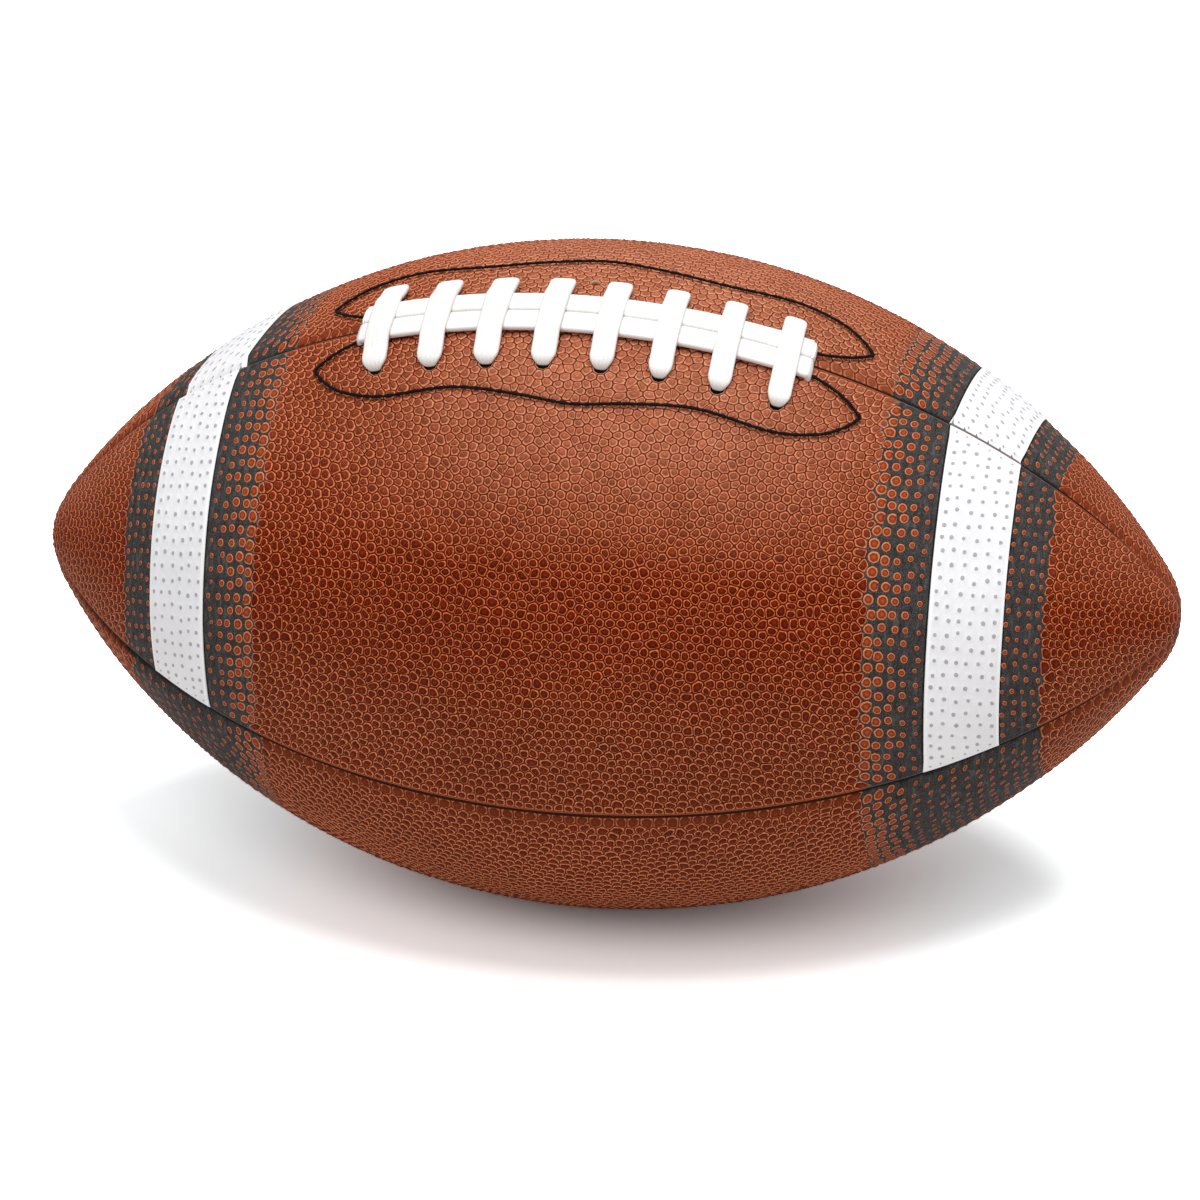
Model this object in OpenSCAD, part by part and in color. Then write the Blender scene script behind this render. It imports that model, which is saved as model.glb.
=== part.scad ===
// American football: four lined leather panels, sewn edge to edge, turned the right way
// out over a bladder, and closed by one flat lace. +X runs along the ball, +Z is up as it
// lies, -Y is its front, and the origin is its centre. Millimetres.

/* [Ball] */
// Length from tip to tip
ball_len = 288; // [276:1:296]
// Diameter at the middle
ball_d = 168; // [156:1:176]
// Radius of the rounded tips
tip_r = 21; // [17:1:27]
// Turn of the lace seam from straight up, towards the front
lace_turn = 21; // [0:1:45]
// Depth to which the leather flattens where the ball lies
rest_flat = 0.4; // [0.4:0.05:0.7]

/* [Panels] */
// Thickness of the leather
leather_t = 2; // [1.6:0.1:2.2]
// Outer radius of the leather where it rolls into a seam
roll_r = 3.2; // [2.6:0.1:3.6]
// Depth to which a sewn edge reaches inside the ball
seam_depth = 6.4; // [5.8:0.1:7.4]
// Thickness of the cloth lining behind each panel
lining_t = 0.8; // [0.5:0.1:1]
// Thickness of the facing behind the lace holes
facing_t = 1.2; // [0.8:0.1:1.5]
// Width of the facing beyond its line of stitches
facing_margin = 3; // [2:0.5:4]
// Diameter of the thread in the seams
seam_thread_d = 1; // [0.6:0.1:1.2]

/* [Lace] */
// Distance between neighbouring lace holes
hole_pitch = 14; // [12:0.5:15]
// Number of holes on each side, which is the number of cross turns
hole_count = 8; // [6:1:9]
// Distance of the hole rows from the lace seam
hole_offset = 16.2; // [15.5:0.1:18]
// Diameter of a lace hole
hole_d = 6; // [5.8:0.1:6.6]
// Width of the flat lace
lace_w = 6.6; // [5.4:0.1:7]
// Thickness of the flat lace
lace_t = 1.9; // [1.4:0.1:2]

/* [Stitched outline] */
// Reach of the leaf-shaped line of stitches beyond the lace, along the ball
leaf_reach = 11.6; // [9:0.1:14]
// Distance of the leaf's middle bulge from the lace seam
leaf_bulge = 26.2; // [25:0.1:28]
// Distance of its waists from the lace seam
leaf_waist = 22.6; // [21.5:0.1:24]
// Distance of its tips from the lace seam
leaf_tip = 11.5; // [9:0.1:13]
// Width of the thread
stitch_w = 1.2; // [0.8:0.1:1.6]
// Height of the thread above the leather
stitch_h = 0.5; // [0.3:0.1:0.8]

/* [Stripes] */
// Place of a stripe's outer edge, as a share of the way from the middle to a tip
stripe_end_share = 0.728; // [0.7:0.001:0.76]
// Width of a stripe along the ball
stripe_w = 16.3; // [12:0.1:20]
// Thickness of the stripe's coating
stripe_t = 0.3; // [0.2:0.05:0.5]

/* [Bladder and valve] */
// Thickness of the bladder's wall
bladder_t = 0.8; // [0.5:0.1:1.2]
// Distance of the needle hole from the lace seam
valve_offset = 15.4; // [15:0.1:16.5]
// Diameter of the needle hole in the leather
needle_hole_d = 3; // [2.8:0.1:3.4]
// Diameter of the duct that grips the needle
needle_duct_d = 1.9; // [1.7:0.1:2]
// Diameter of the valve's core
core_d = 3.8; // [3.6:0.1:4]
// Length of the valve's core
core_len = 18; // [12:1:24]
// Wall of the valve's rubber stem
stem_wall = 0.8; // [0.6:0.1:0.9]
// Diameter of the valve's flange inside the bladder
flange_d = 18; // [14:1:24]
// Thickness of the flange
flange_t = 1.2; // [0.8:0.1:2]
// Diameter of the valve's body below the flange
valve_body_d = 9; // [8:0.5:11]

/* [Clearances] */
// Between the two edges of a seam
seam_gap = 0.2; // [0.1:0.05:0.3]
// Between pieces that lie on each other
fit_gap = 0.15; // [0.1:0.01:0.2]
// Between the faceted leather and the lining behind it
facet_gap = 0.45; // [0.4:0.05:0.6]
// Between a core and the bore that holds it
bore_gap = 0.05; // [0.03:0.01:0.1]

/* [Hidden] */

leather = "#7b3a1f";
lining_cloth = "#d8d2c4";
facing_cloth = "#5c4a3a";
white = "#f2f1ee";
thread_black = "#1b1918";
thread_white = "#e6e2d8";
rubber = "#26262a";
core_rubber = "#8a2f26";

half_len = ball_len / 2;
mid_r = ball_d / 2;

// The meridian is a long arc between two tip arcs, tangent to it. An angle along it, a, is
// the tilt of the surface's normal: 0 at the middle and 90 at a tip.
arc_r = (half_len * half_len + mid_r * mid_r - 2 * half_len * tip_r) / (2 * (mid_r - tip_r));
arc_drop = arc_r - mid_r;
tip_x = half_len - tip_r;
join_a = atan2(tip_x, arc_drop);
end_a = 88;

function on_arc(a) = abs(a) <= join_a;
function axis_x(a, depth) =
    on_arc(a) ? (arc_r - depth) * sin(a) : sign(a) * tip_x + (tip_r - depth) * sin(a);
function axis_r(a, depth) =
    on_arc(a) ? (arc_r - depth) * cos(a) - arc_drop : (tip_r - depth) * cos(a);
function angle_at(x) = asin(x / arc_r);

// A point of the ball: t is the angle round the ball from a seam, towards the front
function ball_point(a, t, depth) =
    let (r = axis_r(a, depth)) [axis_x(a, depth), -r * sin(t), r * cos(t)];

// Shares of the lace's width: from the last hole to a slot, and half widths of the lace
// drawn together in a hole, on its way into it and under the facing
slot_share = 0.9;
drawn_share = 0.33;
entry_share = 0.43;
run_share = 0.42;
// Shares of the lace's thickness: how thin it is pressed under the facing, and its bends
// above the leather and below it
pressed_share = 0.9;
bend_share = 0.8;
run_bend_share = 0.9;

// Holes, openings and slots along the lace seam
last_hole = hole_pitch * (hole_count - 1) / 2;
slot_x = last_hole + slot_share * lace_w;
slot_w = lace_t + 3 * fit_gap;
slot_reach = lace_w + 3 * fit_gap;
bend = bend_share * lace_t;
run_bend = run_bend_share * lace_t;
tail_len = lace_w;
opening_half = slot_x + tail_len + lace_t;
opening_a = angle_at(opening_half);
ramp_a = angle_at(opening_half + seam_depth);
opening_depth = roll_r + fit_gap;

// Depths of the layers under the leather
lining_depth = leather_t + facet_gap;
facing_depth = lining_depth + lining_t + fit_gap;
facing_bottom = facing_depth + facing_t;
run_t = pressed_share * lace_t;
run_depth = facing_bottom + fit_gap + run_t / 2;
bladder_depth = max(run_depth + run_t / 2 + fit_gap, seam_depth + facet_gap / 2);
edge_inset = seam_gap / 2 + leather_t + fit_gap;
roll_inset = seam_gap / 2 + roll_r;
hole_clear_d = hole_d + 2 * fit_gap;
hole_cut = 4 * bladder_depth;
cut_over = ball_len;

// Counts of the facets
arc_steps = 20;
open_steps = 8;
side_steps = 6;
tip_steps = 4;
roll_steps = 3;
face_steps = 11;
band_steps = 24;

function spread(from, to, steps) = [for (i = [0:steps]) from + (to - from) * i / steps];
function last(list) = list[len(list) - 1];
function less_last(list) = [for (i = [0:len(list) - 2]) list[i]];
function reversed(list) = [for (i = [len(list) - 1:-1:0]) list[i]];
tip_stations = spread(join_a, end_a, tip_steps);
function with_tips(middle) = concat(
    [for (i = [tip_steps:-1:1]) -tip_stations[i]],
    middle,
    [for (i = [1:tip_steps]) tip_stations[i]]
);
function sewn(angles) = [for (a = angles) [a, seam_depth]];

// Where a panel is measured along the ball, as [angle, depth of its first edge]. Along the
// lace opening the edges aren't sewn to each other, and are shallow.
base_stations = sewn(with_tips(spread(-join_a, join_a, arc_steps)));
sewn_side = concat(
    less_last(spread(ramp_a, join_a, side_steps)),
    [for (i = [0:tip_steps]) tip_stations[i]]
);
lace_stations = concat(
    sewn([for (a = reversed(sewn_side)) -a]),
    [for (a = spread(-opening_a, opening_a, open_steps)) [a, opening_depth]],
    sewn(sewn_side)
);

// Panels

// Near a tip the rolled edges narrow, so that two of them share the panel's width
roll_room_share = 0.5;
function roll_at(a) = min(roll_r, axis_r(a, 0) * roll_room_share - seam_gap / 2);

// One rolled edge as [distance from the seam's plane, depth], from the sewn edge outwards
function edge_outside(a, edge_depth) = let (r = roll_at(a)) concat(
    [[seam_gap / 2, edge_depth]],
    [for (u = spread(0, 90, roll_steps)) [seam_gap / 2 + r * (1 - cos(u)), roll_r * (1 - sin(u))]]
);
function edge_inside(a, edge_depth) =
    let (r = roll_at(a), wall = leather_t * r / roll_r, inner = roll_r - leather_t) concat(
    [[seam_gap / 2 + wall, edge_depth]],
    [for (u = spread(0, 90, roll_steps))
        [seam_gap / 2 + r - (r - wall) * cos(u), roll_r - inner * sin(u)]]
);
function edge_point(a, place) =
    ball_point(a, asin(place[0] / axis_r(a, place[1])), place[1]);
function edge_point_back(a, place) =
    ball_point(a, 90 - asin(place[0] / axis_r(a, place[1])), place[1]);

// One skin of the panel across its width: rolled edge, open face, rolled edge
function skin(a, first_edge, last_edge, depth) =
    let (
        start = asin(last(first_edge)[0] / axis_r(a, depth)),
        stop = 90 - asin(last(last_edge)[0] / axis_r(a, depth)),
        turns = spread(start, stop, face_steps)
    ) concat(
        [for (p = first_edge) edge_point(a, p)],
        [for (i = [1:face_steps - 1]) ball_point(a, turns[i], depth)],
        [for (p = reversed(last_edge)) edge_point_back(a, p)]
    );

// A sheet of leather between seams at 0 and 90 degrees
module panel_sheet(stations) {
    across = 2 * (roll_steps + 2) + face_steps - 1;
    rows = len(stations);
    outer = [for (p = stations)
        skin(p[0], edge_outside(p[0], p[1]), edge_outside(p[0], seam_depth), 0)];
    inner = [for (p = stations)
        skin(p[0], edge_inside(p[0], p[1]), edge_inside(p[0], seam_depth), leather_t)];
    half = rows * across;
    points = [for (grid = [outer, inner], row = grid, p = row) p];
    out_faces = [for (i = [0:rows - 2], j = [0:across - 2]) let (k = i * across + j)
        each [[k, k + across + 1, k + 1], [k, k + across, k + across + 1]]];
    in_faces = [for (f = out_faces) [f[2] + half, f[1] + half, f[0] + half]];
    side_faces = [for (i = [0:rows - 2], j = [0, across - 1]) let (
            k = i * across + j,
            low = [[k, k + across + half, k + across], [k, k + half, k + across + half]]
        ) each j == 0 ? low : [for (f = low) reversed(f)]];
    end_faces = [for (i = [0, rows - 1], j = [0:across - 2]) let (
            k = i * across + j,
            low = [[k, k + 1 + half, k + half], [k, k + 1, k + 1 + half]]
        ) each i == 0 ? low : [for (f = low) reversed(f)]];
    polyhedron(points, concat(out_faces, in_faces, side_faces, end_faces));
}

// Places its children on the surface, x along the ball and s to the front of the lace seam
module at_surface(x, s) {
    a = angle_at(x);
    t = asin(s / axis_r(a, 0));
    rotate([t, 0, 0])
        translate([0, 0, -arc_drop])
            rotate([0, a, 0])
                translate([0, 0, arc_r])
                    children();
}

module lace_holes(d) {
    for (i = [0:hole_count - 1])
        at_surface(hole_pitch * i - last_hole, hole_offset)
            cylinder(d = d, h = hole_cut, center = true, $fn = 24);
}

// Where the lace's lengthwise strands go in, beyond the last holes
module lace_slots(width) {
    for (side = [-1, 1])
        at_surface(side * slot_x, 0)
            cube([width, 2 * slot_reach, hole_cut], center = true);
}

module needle_hole(d) {
    at_surface(0, valve_offset)
        cylinder(d = d, h = hole_cut, center = true, $fn = 24);
}

module lace_panel(with_needle_hole) {
    color(leather)
        difference() {
            panel_sheet(lace_stations);
            lace_holes(hole_d);
            lace_slots(slot_w);
            if (with_needle_hole)
                needle_hole(needle_hole_d);
        }
}

module panel_lace_near() {
    rotate([lace_turn, 0, 0])
        lace_panel(false);
}

module panel_lace_far() {
    rotate([lace_turn, 0, 0])
        mirror([0, 1, 0])
            lace_panel(true);
}

// The ball lies on this panel, which flattens a little there
module panel_base_near() {
    color(leather)
        difference() {
            rotate([lace_turn + 90, 0, 0])
                panel_sheet(base_stations);
            translate([0, 0, rest_flat - mid_r - cut_over / 2])
                cube(cut_over, center = true);
        }
}

module panel_base_far() {
    color(leather)
        rotate([lace_turn + 90, 0, 0])
            mirror([0, 1, 0])
                rotate([90, 0, 0])
                    mirror([0, 0, 1])
                        panel_sheet(base_stations);
}

// Revolved layers

// Profile of a layer between two depths, as [radius, -x], from angle a to angle b
function layer(a, b, top, bottom) = concat(
    [for (u = spread(a, b, band_steps)) [axis_r(u, top), -axis_x(u, top)]],
    [for (u = spread(b, a, band_steps)) [axis_r(u, bottom), -axis_x(u, bottom)]]
);

// A quarter turn of a profile, from the seam at 0 degrees to the seam at 90
module quarter_turn(profile) {
    rotate([0, -90, 0])
        rotate([0, 0, -90])
            rotate_extrude(angle = 90, $fn = 96)
                polygon(profile);
}

// Takes off what lies within inset of either seam's plane
module between_seams(inset) {
    difference() {
        children();
        cube([2 * cut_over, 2 * inset, 2 * cut_over], center = true);
        cube([2 * cut_over, 2 * cut_over, 2 * inset], center = true);
    }
}

module lining_sheet() {
    between_seams(roll_inset)
        quarter_turn(layer(-join_a, join_a, lining_depth, lining_depth + lining_t));
}

module lace_lining(with_valve_hole) {
    color(lining_cloth)
        difference() {
            lining_sheet();
            lace_holes(hole_clear_d);
            lace_slots(slot_w + 2 * fit_gap);
            if (with_valve_hole)
                needle_hole(stem_d + 2 * fit_gap);
        }
}

module lining_lace_near() {
    rotate([lace_turn, 0, 0])
        lace_lining(false);
}

module lining_lace_far() {
    rotate([lace_turn, 0, 0])
        mirror([0, 1, 0])
            lace_lining(true);
}

module lining_base_near() {
    color(lining_cloth)
        rotate([lace_turn + 90, 0, 0])
            lining_sheet();
}

module lining_base_far() {
    color(lining_cloth)
        rotate([lace_turn + 180, 0, 0])
            lining_sheet();
}

// White stripes on the two laced panels
stripe_end = stripe_end_share * half_len;
stripe_start = stripe_end - stripe_w;

module stripe_band() {
    color(white)
        between_seams(roll_inset)
            quarter_turn(layer(
                angle_at(stripe_start), angle_at(stripe_end), -stripe_t, 0));
}

module stripe_near_right() {
    rotate([lace_turn, 0, 0])
        stripe_band();
}

module stripe_near_left() {
    rotate([lace_turn, 0, 0])
        mirror([1, 0, 0])
            stripe_band();
}

module stripe_far_right() {
    rotate([lace_turn, 0, 0])
        mirror([0, 1, 0])
            stripe_band();
}

module stripe_far_left() {
    rotate([lace_turn, 0, 0])
        mirror([1, 0, 0])
            mirror([0, 1, 0])
                stripe_band();
}

// Facings and their stitches

// The right half of the leaf, from the middle round the tip to the slot. Its points are
// shares of the half length, with shares of the way from the waist out to the bulge, from
// the tip out to the waist, and from the end out to the tip.
leaf_half = slot_x + leaf_reach;
bulge_shares = [[0, 1], [0.2, 0.55], [0.44, 0], [0.7, 0.2]];
shoulder_shares = [[0.86, 0.84], [0.96, 0.4], [1, 0]];
return_shares = [[0.94, 0.38]];
leaf_end_share = 0.75;
leaf_end = leaf_end_share * lace_w;
leaf_end_x = slot_x + slot_w / 2 + stitch_w;
function leaf_part(shares, from, to) =
    [for (p = shares) [p[0] * leaf_half, from + (to - from) * p[1]]];
leaf_half_points = concat(
    leaf_part(bulge_shares, leaf_waist, leaf_bulge),
    leaf_part(shoulder_shares, leaf_tip, leaf_waist),
    leaf_part(return_shares, leaf_end, leaf_tip),
    [[leaf_end_x, leaf_end]]
);
function flipped(list) = [for (p = reversed(list)) [-p[0], p[1]]];
leaf_points = concat(flipped(leaf_half_points), [for (i = [1:len(leaf_half_points) - 1])
    leaf_half_points[i]]);

// A smooth curve through points, after Catmull and Rom
function curve_point(p, q, r, s, u) =
    0.5 * (2 * q + (r - p) * u + (2 * p - 5 * q + 4 * r - s) * u * u
        + (3 * q - p - 3 * r + s) * u * u * u);
function at(list, i) = list[max(0, min(len(list) - 1, i))];
function curve(list, steps) = concat(
    [for (i = [0:len(list) - 2], k = [0:steps - 1])
        curve_point(at(list, i - 1), list[i], list[i + 1], at(list, i + 2), k / steps)],
    [last(list)]
);
leaf_line = curve(leaf_points, 3);

module facing_sheet() {
    facing_a = angle_at(leaf_half + 2 * facing_margin);
    intersection() {
        between_seams(edge_inset)
            quarter_turn(layer(-facing_a, facing_a, facing_depth, facing_bottom));
        linear_extrude(height = ball_d)
            mirror([0, 1])
                offset(delta = facing_margin)
                    polygon(leaf_line);
    }
}

module facing(with_valve_hole) {
    color(facing_cloth)
        difference() {
            facing_sheet();
            lace_holes(hole_clear_d);
            lace_slots(slot_w + 2 * run_bend);
            if (with_valve_hole)
                needle_hole(stem_d + 2 * fit_gap);
        }
}

module facing_near() {
    rotate([lace_turn, 0, 0])
        facing(false);
}

module facing_far() {
    rotate([lace_turn, 0, 0])
        mirror([0, 1, 0])
            facing(true);
}

// Swept pieces

function unit(v) = v / norm(v);
function surface_t(x, s) = asin(s / axis_r(angle_at(x), 0));
function along(x, s) =
    let (a = angle_at(x), t = surface_t(x, s)) [cos(a), sin(a) * sin(t), -sin(a) * cos(t)];
function sideways(x, s) = let (t = surface_t(x, s)) [0, -cos(t), -sin(t)];
function route_point(p) = ball_point(angle_at(p[0]), surface_t(p[0], p[1]), -p[2]);

// A flat strip along a route of [x, s, height, turn of its width from x to s, half width,
// half thickness], with a section given in half widths and half thicknesses
module strip(route, section) {
    n = len(route);
    m = len(section);
    centre = [for (p = route) route_point(p)];
    rings = [for (i = [0:n - 1]) let (
            p = route[i],
            ahead = unit(at(centre, i + 1) - at(centre, i - 1)),
            wide = cos(p[3]) * along(p[0], p[1]) + sin(p[3]) * sideways(p[0], p[1]),
            across = unit(wide - (wide * ahead) * ahead),
            up = cross(ahead, across)
        ) [for (q = section) centre[i] + across * q[0] * p[4] + up * q[1] * p[5]]];
    points = [for (ring = rings, p = ring) p];
    walls = [for (i = [0:n - 2], j = [0:m - 1]) let (
            k = i * m + j,
            l = i * m + (j + 1) % m
        ) each [[k, l + m, l], [k, k + m, l + m]]];
    start = [for (j = [0:m - 1]) j];
    stop = [for (j = [m - 1:-1:0]) (n - 1) * m + j];
    polyhedron(points, concat(walls, [start, stop]));
}

edge_share = 0.42;
flat_share = 0.8;
lace_section = [
    [1, edge_share], [flat_share, 1], [-flat_share, 1], [-1, edge_share],
    [-1, -edge_share], [-flat_share, -1], [flat_share, -1], [1, -edge_share]
];
thread_section = [[1, 1], [-1, 1], [-1, -1], [1, -1]];

module leaf_stitches() {
    color(thread_black)
        strip([for (i = [0:len(leaf_line) - 1]) let (
                p = leaf_line[i],
                step = at(leaf_line, i + 1) - at(leaf_line, i - 1)
            ) [p[0], p[1], stitch_h / 2, atan2(step[1], step[0]) + 90, stitch_w / 2, stitch_h / 2]],
            thread_section);
}

module facing_stitch_near() {
    rotate([lace_turn, 0, 0])
        leaf_stitches();
}

module facing_stitch_far() {
    rotate([lace_turn, 0, 0])
        mirror([0, 1, 0])
            leaf_stitches();
}

// The lace

// Half widths and half thicknesses: lying flat, drawn together in a hole, under the facing
flat_w = lace_w / 2;
drawn_w = drawn_share * lace_w;
run_w = run_share * lace_w;
half_t = lace_t / 2;
strand_s = flat_w + fit_gap;
low_h = half_t + fit_gap;
over_h = low_h + lace_t + fit_gap;
// Where a cross turn climbs onto the strands, as shares of the thickness from their edge
ramp_foot_share = 1.4;
ramp_head_share = -0.2;
ramp_foot = strand_s + flat_w + ramp_foot_share * lace_t;
ramp_head = strand_s + flat_w + ramp_head_share * lace_t;

// Half of a cross turn, as [distance from the seam, height, half width], from the hole up
cross_half = [
    [hole_offset, -facing_bottom + fit_gap, drawn_w],
    [hole_offset, -lace_t / 4, drawn_w],
    [hole_offset - bend / 3, lace_t / 3, entry_share * lace_w],
    [hole_offset - bend - lace_t / 4, low_h, flat_w],
    [ramp_foot, low_h, flat_w],
    [(ramp_foot + ramp_head) / 2, (low_h + over_h) / 2 + fit_gap, flat_w],
    [ramp_head, over_h, flat_w],
    [ramp_head / 2, over_h, flat_w]
];
function cross_turn(x) = concat(
    [for (p = cross_half) [x, p[0], p[1], 0, p[2], half_t]],
    [[x, 0, over_h, 0, flat_w, half_t]],
    [for (p = reversed(cross_half)) [x, -p[0], p[1], 0, p[2], half_t]]
);

// Under the facing from the far hole at x to the near hole one pitch back
run_half = hole_offset - run_bend;
run_turn = atan2(hole_pitch, 2 * run_half);
run_steps = 4;
function under_run(x) = [for (s = spread(-run_half, run_half, run_steps))
    [x - hole_pitch * (s + run_half) / (2 * run_half), s, -run_depth, run_turn,
        abs(s) == run_half ? drawn_w : run_w, run_t / 2]];

// One lengthwise strand on top of the seam, from slot to slot
strand_steps = 9;
strand_flat = slot_x - bend;
function strand(s) = concat(
    [[-slot_x, s, -facing_bottom, 90, flat_w, half_t],
    [-slot_x, s, -lace_t / 4, 90, flat_w, half_t],
    [-slot_x + bend / 3, s, half_t, 90, flat_w, half_t]],
    [for (x = spread(-strand_flat, strand_flat, strand_steps)) [x, s, low_h, 90, flat_w, half_t]],
    [[slot_x - bend / 3, s, half_t, 90, flat_w, half_t],
    [slot_x, s, -lace_t / 4, 90, flat_w, half_t],
    [slot_x, s, -facing_bottom, 90, flat_w, half_t]]
);

// Inside, from the right slot of the near strand round to the last near hole
turn_r = slot_x - run_bend - last_hole;
round_steps = 3;
inner_turn = concat(
    [for (u = spread(0, 90, round_steps))
        [last_hole + turn_r * (1 - sin(u)), strand_s + turn_r * (1 - cos(u)), -run_depth,
            90 - u, run_w, run_t / 2]],
    [[last_hole, run_half, -run_depth, 0, drawn_w, run_t / 2]]
);
tail = [
    [slot_x + run_bend, -strand_s, -run_depth, 90, flat_w, run_t / 2],
    [slot_x + tail_len, -strand_s, -run_depth, 90, flat_w, run_t / 2]
];
function half_turned(list) = [for (p = reversed(list)) [-p[0], -p[1], p[2], p[3], p[4], p[5]]];

lace_route = concat(
    half_turned(tail),
    strand(strand_s),
    inner_turn,
    [for (i = [hole_count - 1:-1:0]) let (x = hole_pitch * i - last_hole)
        each concat(cross_turn(x), i > 0 ? under_run(x) : [])],
    half_turned(inner_turn),
    strand(-strand_s),
    tail
);

module lace() {
    color(white)
        rotate([lace_turn, 0, 0])
            strip(lace_route, lace_section);
}

// Threads of the seams

thread_depth = (seam_depth + roll_r) / 2;

// The two threads of a lock-stitched seam, one on each side of the sewn edges, from angle a
// to angle b
module thread_pair(a, b) {
    for (side = [-1, 1])
        translate([0, 0, -arc_drop])
            rotate([90, 0, 0])
                rotate([0, 0, 90 - b])
                    rotate_extrude(angle = b - a, $fn = 180)
                        translate([arc_r - thread_depth, side * (edge_inset + seam_thread_d / 2)])
                            circle(d = seam_thread_d, $fn = 16);
}

module seam_threads(turn) {
    color(thread_white)
        rotate([lace_turn + turn, 0, 0])
            thread_pair(-join_a, join_a);
}

// The lace seam is sewn only beyond the lace opening
module seam_thread_lace() {
    color(thread_white)
        rotate([lace_turn, 0, 0]) {
            thread_pair(-join_a, -ramp_a);
            thread_pair(ramp_a, join_a);
        }
}

module seam_thread_near() { seam_threads(90); }
module seam_thread_bottom() { seam_threads(180); }
module seam_thread_far() { seam_threads(270); }

// Bladder and valve

stem_d = core_d + 2 * bore_gap + 2 * stem_wall;
bladder_inside = bladder_depth + bladder_t;

module bladder() {
    color(rubber)
        rotate([lace_turn, 0, 0])
            difference() {
                rotate([0, -90, 0])
                    rotate_extrude($fn = 96)
                        polygon(concat(
                            bladder_wall(bladder_depth), reversed(bladder_wall(bladder_inside))));
                mirror([0, 1, 0])
                    needle_hole(stem_d + 2 * fit_gap);
            }
}
function bladder_wall(depth) = concat(
    [[0, -axis_x(-90, depth)]],
    [for (a = [for (i = [tip_steps - 1:-1:1]) -tip_stations[i]]) [axis_r(a, depth), -axis_x(a, depth)]],
    [for (a = spread(-join_a, join_a, arc_steps)) [axis_r(a, depth), -axis_x(a, depth)]],
    [for (i = [1:tip_steps - 1]) [axis_r(tip_stations[i], depth), -axis_x(tip_stations[i], depth)]],
    [[0, -axis_x(90, depth)]]
);

// Children stand on the valve's axis, which leaves the ball along +Z, with 0 at the surface
module at_valve() {
    rotate([lace_turn, 0, 0])
        mirror([0, 1, 0])
            at_surface(0, valve_offset)
                children();
}

core_top = lining_depth + fit_gap;
pocket_end = core_top + core_len + fit_gap;
flange_top = bladder_inside + facet_gap / 2;
// The flange droops with the bladder's curve, as a share of the ball's own over its width
droop_share = 1.4;
flange_droop = droop_share * flange_d * flange_d / (4 * ball_d);
valve_floor = stem_wall;

module valve_boot() {
    pocket_r = core_d / 2 + bore_gap;
    color(rubber)
        at_valve()
            rotate_extrude($fn = 48)
                polygon([
                    [pocket_r, -core_top],
                    [stem_d / 2, -core_top],
                    [stem_d / 2, -flange_top],
                    [flange_d / 2, -flange_top - flange_droop],
                    [flange_d / 2, -flange_top - flange_droop - flange_t],
                    [valve_body_d / 2, -flange_top - flange_droop / 2 - flange_t],
                    [valve_body_d / 2, -pocket_end],
                    [valve_body_d / 2 - valve_floor, -pocket_end - valve_floor],
                    [needle_duct_d / 2, -pocket_end - valve_floor],
                    [needle_duct_d / 2, -pocket_end],
                    [pocket_r, -pocket_end]
                ]);
}

module valve_core() {
    color(core_rubber)
        at_valve()
            translate([0, 0, -core_top - core_len])
                difference() {
                    cylinder(d = core_d, h = core_len, $fn = 48);
                    translate([0, 0, -fit_gap])
                        cylinder(d = needle_duct_d, h = core_len + 2 * fit_gap, $fn = 48);
                }
}

panel_lace_near();
panel_lace_far();
panel_base_near();
panel_base_far();
lining_lace_near();
lining_lace_far();
lining_base_near();
lining_base_far();
facing_near();
facing_far();
facing_stitch_near();
facing_stitch_far();
stripe_near_left();
stripe_near_right();
stripe_far_left();
stripe_far_right();
seam_thread_lace();
seam_thread_near();
seam_thread_bottom();
seam_thread_far();
lace();
bladder();
valve_boot();
valve_core();
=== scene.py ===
import math

import bpy
import numpy as np
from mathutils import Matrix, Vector
from mathutils.geometry import delaunay_2d_cdt


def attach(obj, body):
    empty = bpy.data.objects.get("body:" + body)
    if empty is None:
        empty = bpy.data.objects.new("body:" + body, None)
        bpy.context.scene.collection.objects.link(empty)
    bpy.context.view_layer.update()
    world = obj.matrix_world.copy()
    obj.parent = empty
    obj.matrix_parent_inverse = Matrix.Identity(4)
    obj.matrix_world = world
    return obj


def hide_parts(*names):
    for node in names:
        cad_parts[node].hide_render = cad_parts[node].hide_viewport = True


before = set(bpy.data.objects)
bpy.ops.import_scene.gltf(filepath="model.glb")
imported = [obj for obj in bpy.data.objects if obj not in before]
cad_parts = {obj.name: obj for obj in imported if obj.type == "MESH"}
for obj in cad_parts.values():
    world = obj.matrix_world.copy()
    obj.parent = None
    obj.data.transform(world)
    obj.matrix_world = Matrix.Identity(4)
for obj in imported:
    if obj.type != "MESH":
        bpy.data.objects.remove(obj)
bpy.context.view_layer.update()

# Sizes are in millimetres, angles in radians. u runs along a meridian from the middle of the
# ball, and v across a panel from its middle line. t turns round the ball from the lace seam
# towards the front.
MM = 0.001
HALF_LEN = 144.0
MID_R = 84.0
TIP_R = 21.0
LACE_TURN = math.radians(21.0)
REST_FLAT = 0.4
ARC_R = (HALF_LEN ** 2 + MID_R ** 2 - 2 * HALF_LEN * TIP_R) / (2 * (MID_R - TIP_R))
ARC_DROP = ARC_R - MID_R
TIP_X = HALF_LEN - TIP_R
JOIN_A = math.atan2(TIP_X, ARC_DROP)
JOIN_U = ARC_R * JOIN_A
QUARTER = math.pi / 4

# Where the stripes and the printed bands begin and end along the ball, on both sides
STRIPE_X = (88.5, 104.8)
INK_X = (74.6, 115.3)
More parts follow.
